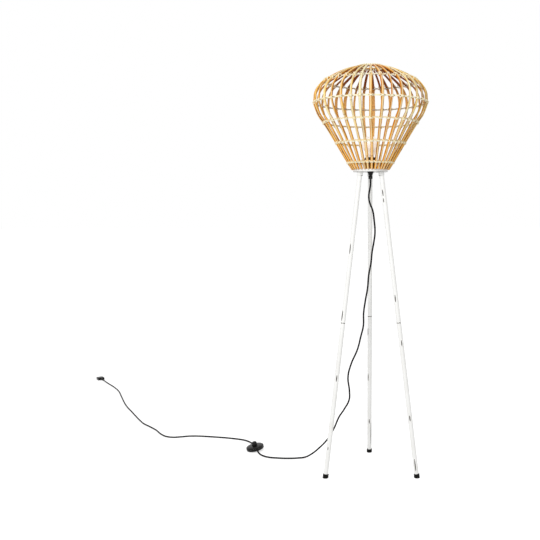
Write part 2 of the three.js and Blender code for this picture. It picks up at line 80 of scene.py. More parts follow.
camera_data = bpy.data.cameras.new("camera")
camera_data.sensor_width = SENSOR_WIDTH
camera_data.lens = SENSOR_WIDTH * FOCAL_PIXELS / PICTURE_SIDE
camera_data.shift_x = LENS_SHIFT
camera = linked("camera", camera_data)
camera.matrix_world = (
    Matrix.Translation(CAMERA_PLACE)
    @ Matrix.Rotation(math.pi / 2 - CAMERA_DIP, 4, "X")
    @ Matrix.Rotation(CAMERA_ROLL, 4, "Z")
)
scene.camera = camera
scene.view_settings.view_transform = "Standard"
print("The lens is", round(camera_data.lens, 1), "mm")

# %% [markdown]
# ## The cord
# The real cord is one soft round cable. It hangs from its grip under the plate, still wavy from
# its packing, then lies on the floor, runs through the foot switch and on to the plug.
# A curve with a round bevel is the plain way to make a cable. The points are those of the frame.
# The stiff cord tips the light switch, which then rests on its left edge.

# %% Lay the two stretches of cord
SEAT_GAP = 0.0003
CORD_WIDTH = 0.0062
SWITCH_RADIUS = 0.034
SWITCH_CHAMFER = 0.0012
SWITCH_TILT = math.radians(10.5)
SWITCH_REACH = 0.042
SWITCH_PORT_HEIGHT = 0.0041
PLUG_AXIS_HEIGHT = 0.007

grip_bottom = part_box("cord_grip_nut")[0].z
cord_exit = Vector((0.0, 0.0, grip_bottom - SEAT_GAP))
switch_lift = (SWITCH_RADIUS - SWITCH_CHAMFER) * math.sin(SWITCH_TILT)
switch_matrix = (
    Matrix.Translation((-0.444, 0.208, switch_lift))
    @ Matrix.Rotation(math.radians(110), 4, "Z")
    @ Matrix.Rotation(-SWITCH_TILT, 4, "X")
)
plug_matrix = Matrix.Translation((-1.427, 1.384, 0)) @ Matrix.Rotation(math.radians(125.5), 4, "Z")


def switch_port(reach):
    """A point on the cord's line through the switch, this far from its centre."""
    return switch_matrix @ Vector((reach, 0, SWITCH_PORT_HEIGHT))


def plug_entry(reach):
    """A point on the cord's line into the plug, this far before it."""
    return plug_matrix @ Vector((-reach, 0, PLUG_AXIS_HEIGHT))


def metres(rows):
    """Rows of millimetres, in metres."""
    return [tuple(value / 1000 for value in row) for row in rows]


def smooth_curve(name, places, **settings):
    """A curve that runs smoothly through places, with these settings."""
    line = bpy.data.curves.new(name, "CURVE")
    for setting, value in settings.items():
        setattr(line, setting, value)
    spline = line.splines.new("BEZIER")
    spline.bezier_points.add(len(places) - 1)
    for point, place in zip(spline.bezier_points, places):
        point.co = place
        point.handle_left_type = point.handle_right_type = "AUTO"
    return linked(name, line)


def curve_length(piece):
    return piece.data.splines[0].calc_length()


CABLE = {
    "dimensions": "3D", "resolution_u": 10, "bevel_depth": CORD_WIDTH / 2, "bevel_resolution": 4,
    "use_fill_caps": True,
}
# The points of each stretch between its ends, in millimetres.
HANGING_POINTS = (
    (0, 0, 1026), (-3, 0, 1004), (-6, 1, 983), (-3, 2, 961), (8, 4, 931), (13, 5, 897),
    (16, 7, 856), (12, 10, 820), (6, 12, 786), (2, 16, 746), (-6, 20, 701), (-10, 23, 655),
    (-18, 28, 608), (-24, 33, 564), (-25, 38, 516), (-34, 43, 477), (-46, 48, 429), (-70, 55, 371),
    (-81, 61, 324), (-76, 69, 268), (-77, 72, 236), (-96, 78, 197), (-114, 82, 169),
    (-136, 89, 118), (-160, 96, 77), (-191, 101, 43), (-223, 104, 17), (-244, 105, 7),
    (-265, 106, 3.8), (-307, 102, 3.5), (-347, 106, 3.5), (-383, 115, 3.7), (-408.5, 132, 5),
    (-423.5, 150, 8),
)
FLOOR_POINTS = (
    (-465.5, 266, 8.6), (-481.5, 301, 4.6), (-506, 326, 3.5), (-539, 341, 3.5), (-588, 357, 3.5),
    (-641, 369, 3.5), (-694, 379, 3.5), (-742, 379, 3.5), (-775, 369, 3.5), (-805, 365, 3.5),
    (-833, 376, 3.5), (-860, 405, 3.5), (-898, 465, 3.5), (-938, 515, 3.5), (-977, 561, 3.5),
    (-1008, 612, 3.5), (-1047, 682, 3.5), (-1088, 758, 3.5), (-1130, 835, 3.5), (-1172, 924, 3.5),
    (-1217, 1030, 3.5), (-1268, 1147, 3.5), (-1321, 1236, 3.5), (-1375, 1312, 4.3),
    (-1408, 1357, 6.4),
)
port_reach = SWITCH_REACH + SEAT_GAP
switch_exit = switch_port(port_reach)
hanging_route = [cord_exit, *metres(HANGING_POINTS)]
hanging_route += [switch_port(-port_reach - CORD_WIDTH), switch_port(-port_reach)]
floor_route = [switch_exit, switch_port(port_reach + CORD_WIDTH), *metres(FLOOR_POINTS)]
floor_route += [plug_entry(SEAT_GAP + CORD_WIDTH), plug_entry(SEAT_GAP)]
hanging_cord = smooth_curve("cord_from_lamp", hanging_route, **CABLE)
floor_cord = smooth_curve("cord_over_floor", floor_route, **CABLE)
hanging_length = curve_length(hanging_cord)
floor_length = curve_length(floor_cord)
print("Cord lengths:", round(hanging_length, 3), "m and", round(floor_length, 3), "m")

# %% [markdown]
# ## Helpers for modelling
# Every piece below starts as a primitive and is shaped by the operators that a modeller uses by
# hand. An operator works on whatever is selected, so each helper first lets go of everything.


# %% Select, name, copy and settle a piece
def pick(*pieces):
    """Selects these pieces and nothing else. The last one is active."""
    bpy.ops.object.select_all(action="DESELECT")
    for piece in pieces:
        piece.select_set(True)
        bpy.context.view_layer.objects.active = piece


def new_piece(name):
    """Names the piece that was just made."""
    piece = bpy.context.object
    piece.name = piece.data.name = name
    return piece


def added(primitive, name, **settings):
    """Adds a primitive and names it."""
    bpy.ops.object.select_all(action="DESELECT")
    primitive(**settings)
    return new_piece(name)


def copied(piece, name):
    """A copy with a mesh of its own."""
    twin = piece.copy()
    twin.data = piece.data.copy()
    twin.name = twin.data.name = name
    scene.collection.objects.link(twin)
    return twin


def modified(piece, kind, **settings):
    """Adds a modifier and applies it."""
    pick(piece)
    modifier = piece.modifiers.new(kind.lower(), kind)
    for setting, value in settings.items():
        setattr(modifier, setting, value)
    bpy.ops.object.modifier_apply(modifier=modifier.name)
    return piece


def settled(piece, matrix=Matrix.Identity(4)):
    """Moves a piece to its place, and puts that place into its mesh."""
    piece.matrix_world = matrix @ piece.matrix_world
    pick(piece)
    bpy.ops.object.transform_apply(location=True, rotation=True, scale=True)
    return piece


def joined(pieces, name):
    """Joins pieces into one."""
    pick(*pieces)
    bpy.ops.object.join()
    return new_piece(name)


def smoothed(piece, angle=35):
    """Smooth shading, with edges sharper than the angle left crisp."""
    pick(piece)
    bpy.ops.object.shade_smooth_by_angle(angle=math.radians(angle))
    return piece


def flat_ring(name, radius, wire, height, around, section):
    """A ring of wire that lies flat at a height."""
    return added(
        bpy.ops.mesh.primitive_torus_add, name, major_radius=radius, minor_radius=wire,
        major_segments=around, minor_segments=section, location=(0, 0, height),
    )


def as_mesh(curve):
    """Turns a curve into a mesh."""
    pick(curve)
    bpy.ops.object.convert(target="MESH")
    return curve


@contextmanager
def editing(piece):
    """Edit mode for one piece. All of it is selected at the start."""
    pick(piece)
    bpy.ops.object.mode_set(mode="EDIT")
    bpy.ops.mesh.select_all(action="SELECT")
    yield
    bpy.ops.object.mode_set(mode="OBJECT")


def select_where(piece, test):
    """In edit mode, selects the vertices that pass a test on their place."""
    mesh = bmesh.from_edit_mesh(piece.data)
    for vertex in mesh.verts:
        vertex.select = test(vertex.co)
    mesh.select_flush_mode()
    for part in (*mesh.edges, *mesh.faces):
        part.select = all(vertex.select for vertex in part.verts)
    bmesh.update_edit_mesh(piece.data)


def turn_outward():
    """In edit mode, points every face outward."""
    bpy.ops.mesh.select_all(action="SELECT")
    bpy.ops.mesh.normals_make_consistent(inside=False)


def rounded(piece, width, segments, angle):
    """Rounds the edges that are sharper than an angle."""
    angle_limit = math.radians(angle)
    return modified(
        piece, "BEVEL", width=width, segments=segments, limit_method="ANGLE",
        angle_limit=angle_limit,
    )


# %% [markdown]
# A round piece is turned as on a lathe. A circle is the first ring. It is extruded and scaled
# from ring to ring along an outline of radii and heights. A hollow piece joins its last ring to
# its first. In any other piece the two ends stay open.


# %% Turn a round piece from its outline
def turned(name, outline, sides=64, hollow=False, rounding=0.0):
    """A round wall from (radius, height) pairs. A hollow piece is closed, others are open."""
    radius, height = outline[0]
    circle = bpy.ops.mesh.primitive_circle_add
    piece = added(circle, name, vertices=sides, radius=radius, location=(0, 0, height))
    last = sides * (len(outline) - 1)
    with editing(piece):
        for next_radius, next_height in outline[1:]:
            rise = (0, 0, next_height - height)
            bpy.ops.mesh.extrude_edges_move(TRANSFORM_OT_translate={"value": rise})
            share = next_radius / radius
            centre = (0, 0, next_height)
            bpy.ops.transform.resize(value=(share, share, 1), center_override=centre)
            radius, height = next_radius, next_height
        if hollow:
            bpy.ops.mesh.select_mode(type="EDGE")
            mesh = bmesh.from_edit_mesh(piece.data)
            for edge in mesh.edges:
                ends = sorted(vertex.index for vertex in edge.verts)
                edge.select_set(ends[1] < sides or ends[0] >= last)
            bmesh.update_edit_mesh(piece.data)
            bpy.ops.mesh.bridge_edge_loops()
            bpy.ops.mesh.select_mode(type="VERT")
        turn_outward()
    settled(piece)
    if rounding:
        rounded(piece, rounding, 2, 28)
    return smoothed(piece)


def offsets(radius, height, *steps):
    """An outline, from steps of millimetres outward from a radius and upward from a height."""
    return [(radius + out, height + up) for out, up in metres(steps)]


# %% [markdown]
# ## Helpers for finishes
# A finish is a network of nodes. Written out link by link it is hard to read, so one small class
# wraps a socket and lets sums be written as sums. All other nodes come from one method.


# %% Write shader maths as sums
def maths(operation, swapped=False):
    """A method that makes one node of maths from two values."""

    def method(self, other=0.0):
        first, second = (other, self) if swapped else (self, other)
        return self.finish.node("ShaderNodeMath", {"operation": operation}, {0: first, 1: second})

    return method


class Strand:
    """One output of a finish's nodes, which takes part in sums."""

    def __init__(self, finish, link):
        self.finish = finish
        self.link = link

    __add__, __radd__ = maths("ADD"), maths("ADD", True)
    __sub__, __rsub__ = maths("SUBTRACT"), maths("SUBTRACT", True)
    __mul__, __rmul__ = maths("MULTIPLY"), maths("MULTIPLY", True)
    __truediv__, larger, size = maths("DIVIDE"), maths("MAXIMUM"), maths("ABSOLUTE")

    def ramp(self, low, high):
        """0 at low and below, 1 at high and above, and smooth between."""
        settings = {"interpolation_type": "SMOOTHSTEP"}
        sockets = {"Value": self, "From Min": low, "From Max": high}
        return self.finish.node("ShaderNodeMapRange", settings, sockets)


def tint(code):
    """A colour as it looks on screen, such as "d9a566", in the linear values that nodes take."""
    parts = [int(code[start : start + 2], 16) / 255 for start in (0, 2, 4)]
    linear = [part / 12.92 if part < 0.0404 else ((part + 0.055) / 1.055) ** 2.4 for part in parts]
    return linear + [1]


class Web:
    """A tree of nodes."""

    def __init__(self, tree):
        self.tree = tree

    def node(self, kind, settings=None, sockets=None, output=0):
        """Adds a node, sets it, feeds its sockets and gives one of its outputs."""
        made = self.tree.nodes.new(kind)
        for setting, value in (settings or {}).items():
            setattr(made, setting, value)
        for socket, value in (sockets or {}).items():
            if isinstance(value, Strand):
                self.tree.links.new(value.link, made.inputs[socket])
            else:
                made.inputs[socket].default_value = value
        return Strand(self, made.outputs[output])

    def seen(self):
        """1 where the camera looks, straight or in a mirror or through glass, and else 0."""
        rays = [
            self.node("ShaderNodeLightPath", output=f"Is {kind} Ray")
            for kind in ("Camera", "Glossy", "Transmission")
        ]
        return rays[0].larger(rays[1]).larger(rays[2])


class Finish(Web):
    """A material made of nodes."""

    def __init__(self, name, **constants):
        self.material = bpy.data.materials.new(name)
        self.material.use_nodes = True
        super().__init__(self.material.node_tree)
        self.shader = self.tree.nodes["Principled BSDF"]
        for socket, value in constants.items():
            self.shader.inputs[socket.replace("_", " ")].default_value = value

    def place(self):
        """Where a point is on the lamp."""
        return self.node("ShaderNodeTexCoord", output="Object")

    def attribute(self, name):
        """What a piece's mesh says of a point."""
        return self.node("ShaderNodeAttribute", {"attribute_name": name}, output="Vector")

    def parts(self, vector):
        """The three numbers of a vector."""
        made = self.tree.nodes.new("ShaderNodeSeparateXYZ")
        self.tree.links.new(vector.link, made.inputs[0])
        return [Strand(self, socket) for socket in made.outputs]

    def stretched(self, vector, scale):
        """A vector times a vector, which sets how long a pattern runs along each axis."""
        return self.node("ShaderNodeVectorMath", {"operation": "MULTIPLY"}, {0: vector, 1: scale})

    def noise(self, vector, scale, detail=3.0, roughness=0.5):
        sockets = {"Vector": vector, "Scale": scale, "Detail": detail, "Roughness": roughness}
        return self.node("ShaderNodeTexNoise", None, sockets)

    def ramp(self, value, *stops):
        """Colours along a value."""
        colours = self.node("ShaderNodeValToRGB", None, {"Fac": value})
        elements = colours.link.node.color_ramp.elements
        for index, (place, colour) in enumerate(stops):
            stop = elements[index] if index < 2 else elements.new(place)
            stop.position = place
            stop.color = tint(colour)
        return colours

    def mix(self, share, first, second):
        """From one colour to another by a share. Text is a colour's code."""
        first, second = (tint(c) if isinstance(c, str) else c for c in (first, second))
        sockets = {0: share, 6: first, 7: second}
        return self.node("ShaderNodeMix", {"data_type": "RGBA"}, sockets, 2)

    def feed(self, **sockets):
        for socket, value in sockets.items():
            self.tree.links.new(value.link, self.shader.inputs[socket.replace("_", " ")])

    def bump(self, height, strength, distance):
        sockets = {"Strength": strength, "Distance": distance, "Height": height}
        self.feed(Normal=self.node("ShaderNodeBump", None, sockets))


def dressed(piece, finish, body="root"):
    """Gives a piece its finish and the body that it rides on."""
    piece.data.materials.clear()
    piece.data.materials.append(finish.material)
    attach(piece, body)


# %% [markdown]
# ## Black plastic, rubber and cord
# The fittings are moulded black plastic with a fine grain. Handling leaves it shinier in places.
# Rubber is duller and dusty, and the cord's sheath is in between.


# %% Mix the black finishes
def black_finish(name, colour, worn_colour, roughness, grain_scale, grain_depth, sheen=0.15):
    finish = Finish(name, Roughness=roughness, Specular_IOR_Level=sheen)
    place = finish.place()
    cloud = finish.noise(place, 45.0, 4.0)
    grain = finish.noise(place, grain_scale, 2.0)
    finish.feed(
        Base_Color=finish.mix(cloud.ramp(0.35, 0.75), colour, worn_colour),
        Roughness=roughness + 0.16 * (cloud - 0.5),
    )
    finish.bump(grain, 0.35, grain_depth)
    return finish


black_plastic = black_finish("black_plastic", "050505", "0c0b0b", 0.3, 1800.0, 0.0002, 0.2)
foot_rubber = black_finish("foot_rubber", "0b0b0a", "161514", 0.75, 900.0, 0.0006)
cord_sheath = black_finish("cord_sheath", "010101", "040404", 0.5, 1500.0, 0.0003)
print("Black finishes:", black_plastic.material.name, foot_rubber.material.name)

# %% [markdown]
# ## White worn paint
# The stand is painted white and then scuffed on purpose: short dark scratches at random places,
# and a grey line where an edge has lost its paint. The scratches are long along the leg and
# narrow across it. Each one is a stretched ball of wear round a point, broken up by noise.

# %% Lean a leg
FOOT_CIRCLE = 0.185
LEG_TOP_CIRCLE = 0.042
LEG_RADIUS = 0.008
LEG_JOINT = 0.546
LEG_NAMES = ("back", "left", "right")
plate_low, plate_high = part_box("top_plate")
PLATE_THICKNESS = 0.003
disc_bottom = plate_high.z - PLATE_THICKNESS
leg_lean = math.atan2(FOOT_CIRCLE - LEG_TOP_CIRCLE, disc_bottom)
leg_length = math.hypot(FOOT_CIRCLE - LEG_TOP_CIRCLE, disc_bottom)


def leg_matrix(index):
    """Where a leg stands. Its own axis runs up from the floor."""
    turn = math.pi / 2 + 2 * math.pi * index / len(LEG_NAMES)
    return (
        Matrix.Rotation(turn, 4, "Z")
        @ Matrix.Translation((FOOT_CIRCLE, 0, 0))
        @ Matrix.Rotation(-leg_lean, 4, "Y")
    )


lean_degrees = round(math.degrees(leg_lean), 1)
print("A leg is", round(leg_length, 3), "m long and leans", lean_degrees, "degrees")

# %% Mix the worn paint of each leg
# Scratches: height along the leg, degrees round it from the front, length and width, in metres.
SCRATCHES = {
    "back": [
        (0.485, -60, 0.036, 0.0060), (0.308, -45, 0.036, 0.0045), (0.130, -6, 0.022, 0.0040),
        (0.078, 48, 0.110, 0.0045), (0.820, 150, 0.030, 0.0040), (0.640, -145, 0.024, 0.0040),
    ],
    "left": [
        (0.806, -34, 0.044, 0.0045), (0.572, -48, 0.042, 0.0060), (0.352, -2, 0.028, 0.0045),
        (0.105, -21, 0.014, 0.0035), (0.680, 140, 0.030, 0.0040), (0.235, -150, 0.026, 0.0040),
    ],
    "right": [
        (1.002, -24, 0.028, 0.0045), (0.976, -26, 0.018, 0.0040), (0.632, -21, 0.032, 0.0045),
        (0.475, 8, 0.024, 0.0040), (0.211, -6, 0.024, 0.0045), (0.046, -11, 0.050, 0.0045),
        (0.770, 145, 0.030, 0.0040),
    ],
}
JOINT_WEAR = 0.0034
FRONT = Vector((0, -1, 0))


def scratch_place(index, height, degrees_round):
    """The point on a leg's skin at a height, turned round the leg from its front."""
    matrix = leg_matrix(index)
    front = matrix.to_3x3().inverted() @ FRONT
    turn = math.atan2(front.y, front.x) + math.radians(degrees_round)
    return Vector((LEG_RADIUS * math.cos(turn), LEG_RADIUS * math.sin(turn), height))


def worn_paint(name, wear_of):
    """White paint with chips where wear_of says so."""
    finish = Finish(name, Roughness=0.42)
    place = finish.place()
    ragged = finish.noise(place, 420.0, 5.0, 0.65)
    cloud = finish.noise(place, 14.0, 3.0)
    speck = finish.noise(finish.stretched(place, (1.0, 1.0, 0.35)), 260.0, 4.0, 0.6)
    wear = wear_of(finish, place, ragged)
    wear = wear.larger(speck.ramp(0.735, 0.76) * 0.6)
    chipped = wear.ramp(0.42, 0.58)
    stained = wear.ramp(0.12, 0.55) * 0.35
    paint = finish.mix(cloud.ramp(0.3, 0.8), "f9f9f7", "f2f1ee")
    paint = finish.mix(stained, paint, "a9a294")
    bare = finish.mix(ragged, "25211d", "4d463e")
    finish.feed(
        Base_Color=finish.mix(chipped, paint, bare),
        Roughness=0.42 + 0.3 * chipped + 0.12 * (cloud - 0.5),
    )
    finish.bump(1.0 - chipped, 0.5, 0.0003)
    return finish


def leg_wear(index):
    """The wear of one leg: its scratches, and a worn ring at the joint of its two sections."""

    def wear_of(finish, place, ragged):
        inverse = leg_matrix(index).inverted()
        rotation = inverse.to_euler()
        own = finish.node(
            "ShaderNodeMapping", {"vector_type": "POINT"},
            {"Vector": place, "Location": inverse.translation, "Rotation": rotation},
        )
        across, deep, along = finish.parts(own)
        ring = 1.0 - ((along - LEG_JOINT).size() / JOINT_WEAR)
        total = (ring * 0.7 + (ragged - 0.5) * 1.5).ramp(0.1, 0.9)
        for height, degrees_round, length, width in SCRATCHES[LEG_NAMES[index]]:
            centre = scratch_place(index, height, degrees_round)
            dx = (across - centre.x) / (width / 2)
            dy = (deep - centre.y) / (width / 2)
            dz = (along - centre.z) / (length / 2)
            ball = 1.0 - (dx * dx + dy * dy + dz * dz)
            total = total.larger((ball * 1.7 + (ragged - 0.5) * 1.9).ramp(0.0, 1.0))
        return total

    return wear_of


def plate_wear(finish, place, ragged):
    """The plate's wear: the lower edge of its rim, and the mouths of its sockets."""
    x, y, z = finish.parts(place)
    rim_edge = 0.55 - (z - plate_rim_bottom).size() / 0.0011
    socket_edge = 1.0 - (z - socket_bottom).size() / 0.0016
    patch = finish.noise(place, 38.0, 2.0)
    broken = (ragged - 0.5) * 1.6 + (patch - 0.5) * 2.0
    return (rim_edge.larger(socket_edge) + broken).ramp(0.1, 0.9)


PLATE_RIM_DEPTH = 0.0006
plate_rim_bottom = disc_bottom - PLATE_RIM_DEPTH
socket_bottom = plate_low.z + 0.0012
leg_paints = [worn_paint(f"leg_paint_{name}", leg_wear(i)) for i, name in enumerate(LEG_NAMES)]
plate_paint = worn_paint("plate_paint", plate_wear)
print("Each leg paint has", len(leg_paints[0].tree.nodes), "nodes")

# %% [markdown]
# ## The legs
# A leg is two lengths of tube. The lower one carries a thinner spigot that enters the upper one,
# and a fine groove shows where they meet. Both are turned upright and then leaned into place,
# because a straight outline is easy to draw and the lean is one turn for all three legs.

# %% Turn the leg sections and their rubber caps
LEG_BORE = 0.006
SPIGOT_RADIUS = 0.0057
SPIGOT_BORE = 0.0045
SPIGOT_LENGTH = 0.040
CAP_RADIUS = 0.010
CAP_LENGTH = 0.014
CAP_FLOOR = 0.004
JOINT_BEVEL = 0.0006

upper_pattern = turned("leg_upper", [
    (LEG_BORE, LEG_JOINT + SEAT_GAP), (LEG_RADIUS - JOINT_BEVEL, LEG_JOINT + SEAT_GAP),
    (LEG_RADIUS, LEG_JOINT + SEAT_GAP + JOINT_BEVEL), (LEG_RADIUS, leg_length - SEAT_GAP),
    (LEG_BORE, leg_length - SEAT_GAP),
], 48, hollow=True)
lower_pattern = turned("leg_lower", [
    (LEG_BORE, CAP_FLOOR + SEAT_GAP), (LEG_RADIUS, CAP_FLOOR + SEAT_GAP),
    (LEG_RADIUS, LEG_JOINT - JOINT_BEVEL), (LEG_RADIUS - JOINT_BEVEL, LEG_JOINT),
    (SPIGOT_RADIUS, LEG_JOINT), (SPIGOT_RADIUS, LEG_JOINT + SPIGOT_LENGTH),
    (SPIGOT_BORE, LEG_JOINT + SPIGOT_LENGTH), (SPIGOT_BORE, LEG_JOINT - LEG_RADIUS * 2),
    (LEG_BORE, LEG_JOINT - LEG_RADIUS * 2),
], 48, hollow=True)


def foot_cap(name, matrix):
    """A rubber cap with two shallow ribs, cut flat where it meets the floor."""
    outline = [(CAP_RADIUS, -CAP_RADIUS / 2)]
    outline += offsets(
        CAP_RADIUS, 0, (0, 6.4), (-0.4, 6.8), (-0.4, 7.6), (0, 8), (0, 9), (-0.4, 9.4),
        (-0.4, 10.2), (0, 10.6),
    )
    outline += offsets(CAP_RADIUS, CAP_LENGTH, (0, -0.8), (-0.8, 0))
    outline += [(LEG_RADIUS + SEAT_GAP, CAP_LENGTH), (LEG_RADIUS + SEAT_GAP, CAP_FLOOR)]
    cap = settled(turned(name, outline, 48), matrix)
    with editing(cap):
        bpy.ops.mesh.bisect(plane_no=(0, 0, 1), use_fill=True, clear_inner=True)
        turn_outward()
    return smoothed(cap)


for index, name in enumerate(LEG_NAMES):
    matrix = leg_matrix(index)
    for part, pattern in (("upper", upper_pattern), ("lower", lower_pattern)):
        section = settled(copied(pattern, f"leg_{part}_tube_{name}"), matrix)
        dressed(section, leg_paints[index])
        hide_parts(f"leg_{part}_{name}")
    cap = foot_cap(f"rubber_cap_{name}", matrix)
    dressed(cap, foot_rubber)
    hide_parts(f"foot_cap_{name}")
bpy.data.objects.remove(upper_pattern)
bpy.data.objects.remove(lower_pattern)
print("Legs stand on a circle", 2 * FOOT_CIRCLE, "m across")

# %% [markdown]
# ## The top plate
# The plate is a shallow pressed dish with a low lip round its top. Three short sockets are welded
# under it for the legs, and the weld shows as a small uneven bead. The dish and each socket are
# turned, and a bead is a ring whose points are pushed in and out a little, as a hand-run weld is.

# %% Turn the plate, its sockets and the weld beads
PLATE_RADIUS = 0.061
RIM_WALL = 0.002
EDGE_ROUND = 0.0012
LIP_HEIGHT = 0.0045
NIPPLE_HOLE = 0.0053
SOCKET_RADIUS = 0.0099
SOCKET_LENGTH = 0.014
SOCKET_ROOT = 0.0015
BEAD_RADIUS = 0.0016

rim_inner = PLATE_RADIUS - RIM_WALL
lip_top = plate_high.z + LIP_HEIGHT
plate_dish = turned("plate_dish", [
    (NIPPLE_HOLE, disc_bottom), (rim_inner - EDGE_ROUND, disc_bottom),
    (rim_inner, disc_bottom - EDGE_ROUND), (rim_inner, plate_rim_bottom),
    (PLATE_RADIUS, plate_rim_bottom), (PLATE_RADIUS, lip_top - EDGE_ROUND / 2),
    (PLATE_RADIUS - EDGE_ROUND / 2, lip_top), (rim_inner + EDGE_ROUND / 2, lip_top),
    (rim_inner, lip_top - EDGE_ROUND / 2), (rim_inner, plate_high.z + EDGE_ROUND),
    (rim_inner - EDGE_ROUND, plate_high.z), (NIPPLE_HOLE, plate_high.z),
], 128, hollow=True, rounding=0.0003)
plate_parts = [plate_dish]
for index, name in enumerate(LEG_NAMES):
    socket = turned(f"socket_{name}", [
        (LEG_RADIUS + SEAT_GAP, leg_length - SOCKET_LENGTH),
        (SOCKET_RADIUS, leg_length - SOCKET_LENGTH), (SOCKET_RADIUS, leg_length + SOCKET_ROOT),
        (LEG_RADIUS + SEAT_GAP, leg_length + SOCKET_ROOT),
    ], 48, hollow=True, rounding=0.0003)
    plate_parts.append(settled(socket, leg_matrix(index)))
    weld_height = leg_length - BEAD_RADIUS / 2
    bead = flat_ring(f"bead_{name}", SOCKET_RADIUS, BEAD_RADIUS, weld_height, 48, 8)
    with editing(bead):
        bpy.ops.transform.vertex_random(offset=BEAD_RADIUS / 4, normal=1.0, seed=index + 1)
        bpy.ops.mesh.vertices_smooth(factor=0.4)
    plate_parts.append(settled(smoothed(bead, 60), leg_matrix(index)))
top_plate = joined(plate_parts, "plate_with_sockets")
dressed(top_plate, plate_paint)
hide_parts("top_plate")
print("The plate has", len(top_plate.data.polygons), "faces")

# %% [markdown]
# ## Lampholder and cord grip
# The lampholder is a black moulded shell with a ribbed skirt, so that a hand can hold it while
# the bulb is screwed in. Its nipple passes down through the plate into the cone of the cord
# grip. Under the cone a knurled nut squeezes the cord.

# %% Turn the lampholder, the cone and the nut
holder_low, holder_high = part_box("lampholder")
HOLDER_RADIUS = 0.020
HOLDER_FOOT = 0.0435
HOLDER_MOUTH = 0.0142
HOLDER_MOUTH_DEPTH = 0.024
NIPPLE_RADIUS = 0.005
RIB_COUNT = 24
RIB_HEIGHT = 0.0007

holder_bottom = holder_high.z - HOLDER_FOOT
skirt_low = holder_bottom + 0.006
skirt_high = holder_high.z - 0.012
waist = HOLDER_RADIUS - RIB_HEIGHT
holder_outline = [(NIPPLE_RADIUS, holder_low.z), (NIPPLE_RADIUS, holder_bottom)]
holder_outline += offsets(HOLDER_RADIUS, holder_bottom, (-3, 0), (-1, 1.2))
holder_outline += [(waist, holder_bottom + 0.003), (waist, skirt_low), (waist, skirt_high)]
holder_outline += offsets(HOLDER_RADIUS, holder_high.z, (0, -11), (0, -1.5), (-1.5, 0))
mouth_floor = holder_high.z - HOLDER_MOUTH_DEPTH
holder_outline += [(HOLDER_MOUTH, holder_high.z), (HOLDER_MOUTH, mouth_floor)]
lampholder = turned("lampholder_shell", holder_outline, RIB_COUNT * 4)


def ribbed(piece, low, high, count, growth):
    """Swells every second pair of columns of a turned wall between two heights."""

    def on_rib(place):
        on_wall = low - 0.0001 < place.z < high + 0.0001 and place.xy.length > NIPPLE_RADIUS * 1.2
        column = round(math.atan2(place.y, place.x) / (2 * math.pi) * count * 4)
        return on_wall and column % 4 < 2

    with editing(piece):
        select_where(piece, on_rib)
        bpy.ops.transform.resize(value=(growth, growth, 1), center_override=(0, 0, 0))
    smoothed(piece, 28)


ribbed(lampholder, skirt_low, skirt_high, RIB_COUNT, 1 + RIB_HEIGHT / HOLDER_RADIUS)
dressed(lampholder, black_plastic)
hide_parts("lampholder")

cone_low, cone_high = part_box("cord_grip_cone")
CONE_TOP = 0.0125
CONE_TIP = 0.0048
CONE_RINGS = 4
cone_outline = [(CONE_TIP, cone_low.z)]
for ring in range(CONE_RINGS):
    share = (ring + 1) / (CONE_RINGS + 1)
    radius = CONE_TIP + (CONE_TOP - CONE_TIP) * share
    height = cone_low.z + (cone_high.z - cone_low.z) * share
    cone_outline += offsets(radius, height, (0, 0), (-0.3, 0.4), (0, 0.8))
cone_outline += [
    (CONE_TOP, cone_high.z - 0.0006), (CONE_TOP - 0.0006, cone_high.z), (NIPPLE_HOLE, cone_high.z),
    (NIPPLE_HOLE, holder_low.z - SEAT_GAP),
]
grip_cone = turned("grip_cone", cone_outline, 48)
dressed(grip_cone, black_plastic)
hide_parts("cord_grip_cone")

nut_low, nut_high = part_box("cord_grip_nut")
NUT_RADIUS = 0.0079
NUT_KNURLS = 16
NUT_SWELL = 1.07
nut_outline = [(CORD_WIDTH / 2 + 0.0008, nut_low.z)]
nut_outline += offsets(NUT_RADIUS, nut_low.z, (-2.2, 0.2), (-0.5, 1.6), (-0.5, 3))
nut_outline += offsets(NUT_RADIUS, nut_high.z, (-0.5, -2.5), (-1, -0.6), (-2, 0))
grip_nut = turned("grip_nut", nut_outline, NUT_KNURLS * 4)
ribbed(grip_nut, nut_low.z + 0.001, nut_high.z - 0.001, NUT_KNURLS, NUT_SWELL)
dressed(grip_nut, black_plastic)
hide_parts("cord_grip_nut")
print("The grip's nut ends", round(grip_bottom, 4), "m above the floor")

# %% [markdown]
# ## The bulb
# The bulb is opal glass on a screw cap. Opal glass passes light on inside itself, so it never
# looks as grey as paint would in the shade of the canes, and a faint glow stands in for that.
# The thread is a helix on the real one. Here it is a row of rounded rings, which look the same
# from a step away and turn with the bulb.

# %% Turn the bulb's globe and its threaded cap
bulb_low, bulb_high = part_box("bulb")
BULB_RADIUS = 0.030
BULB_NECK_ANGLE = math.radians(-48)
BULB_CAP_RADIUS = 0.0129
BULB_CAP_LENGTH = 0.026
THREAD_TURNS = 5
THREAD_DEPTH = 0.0006

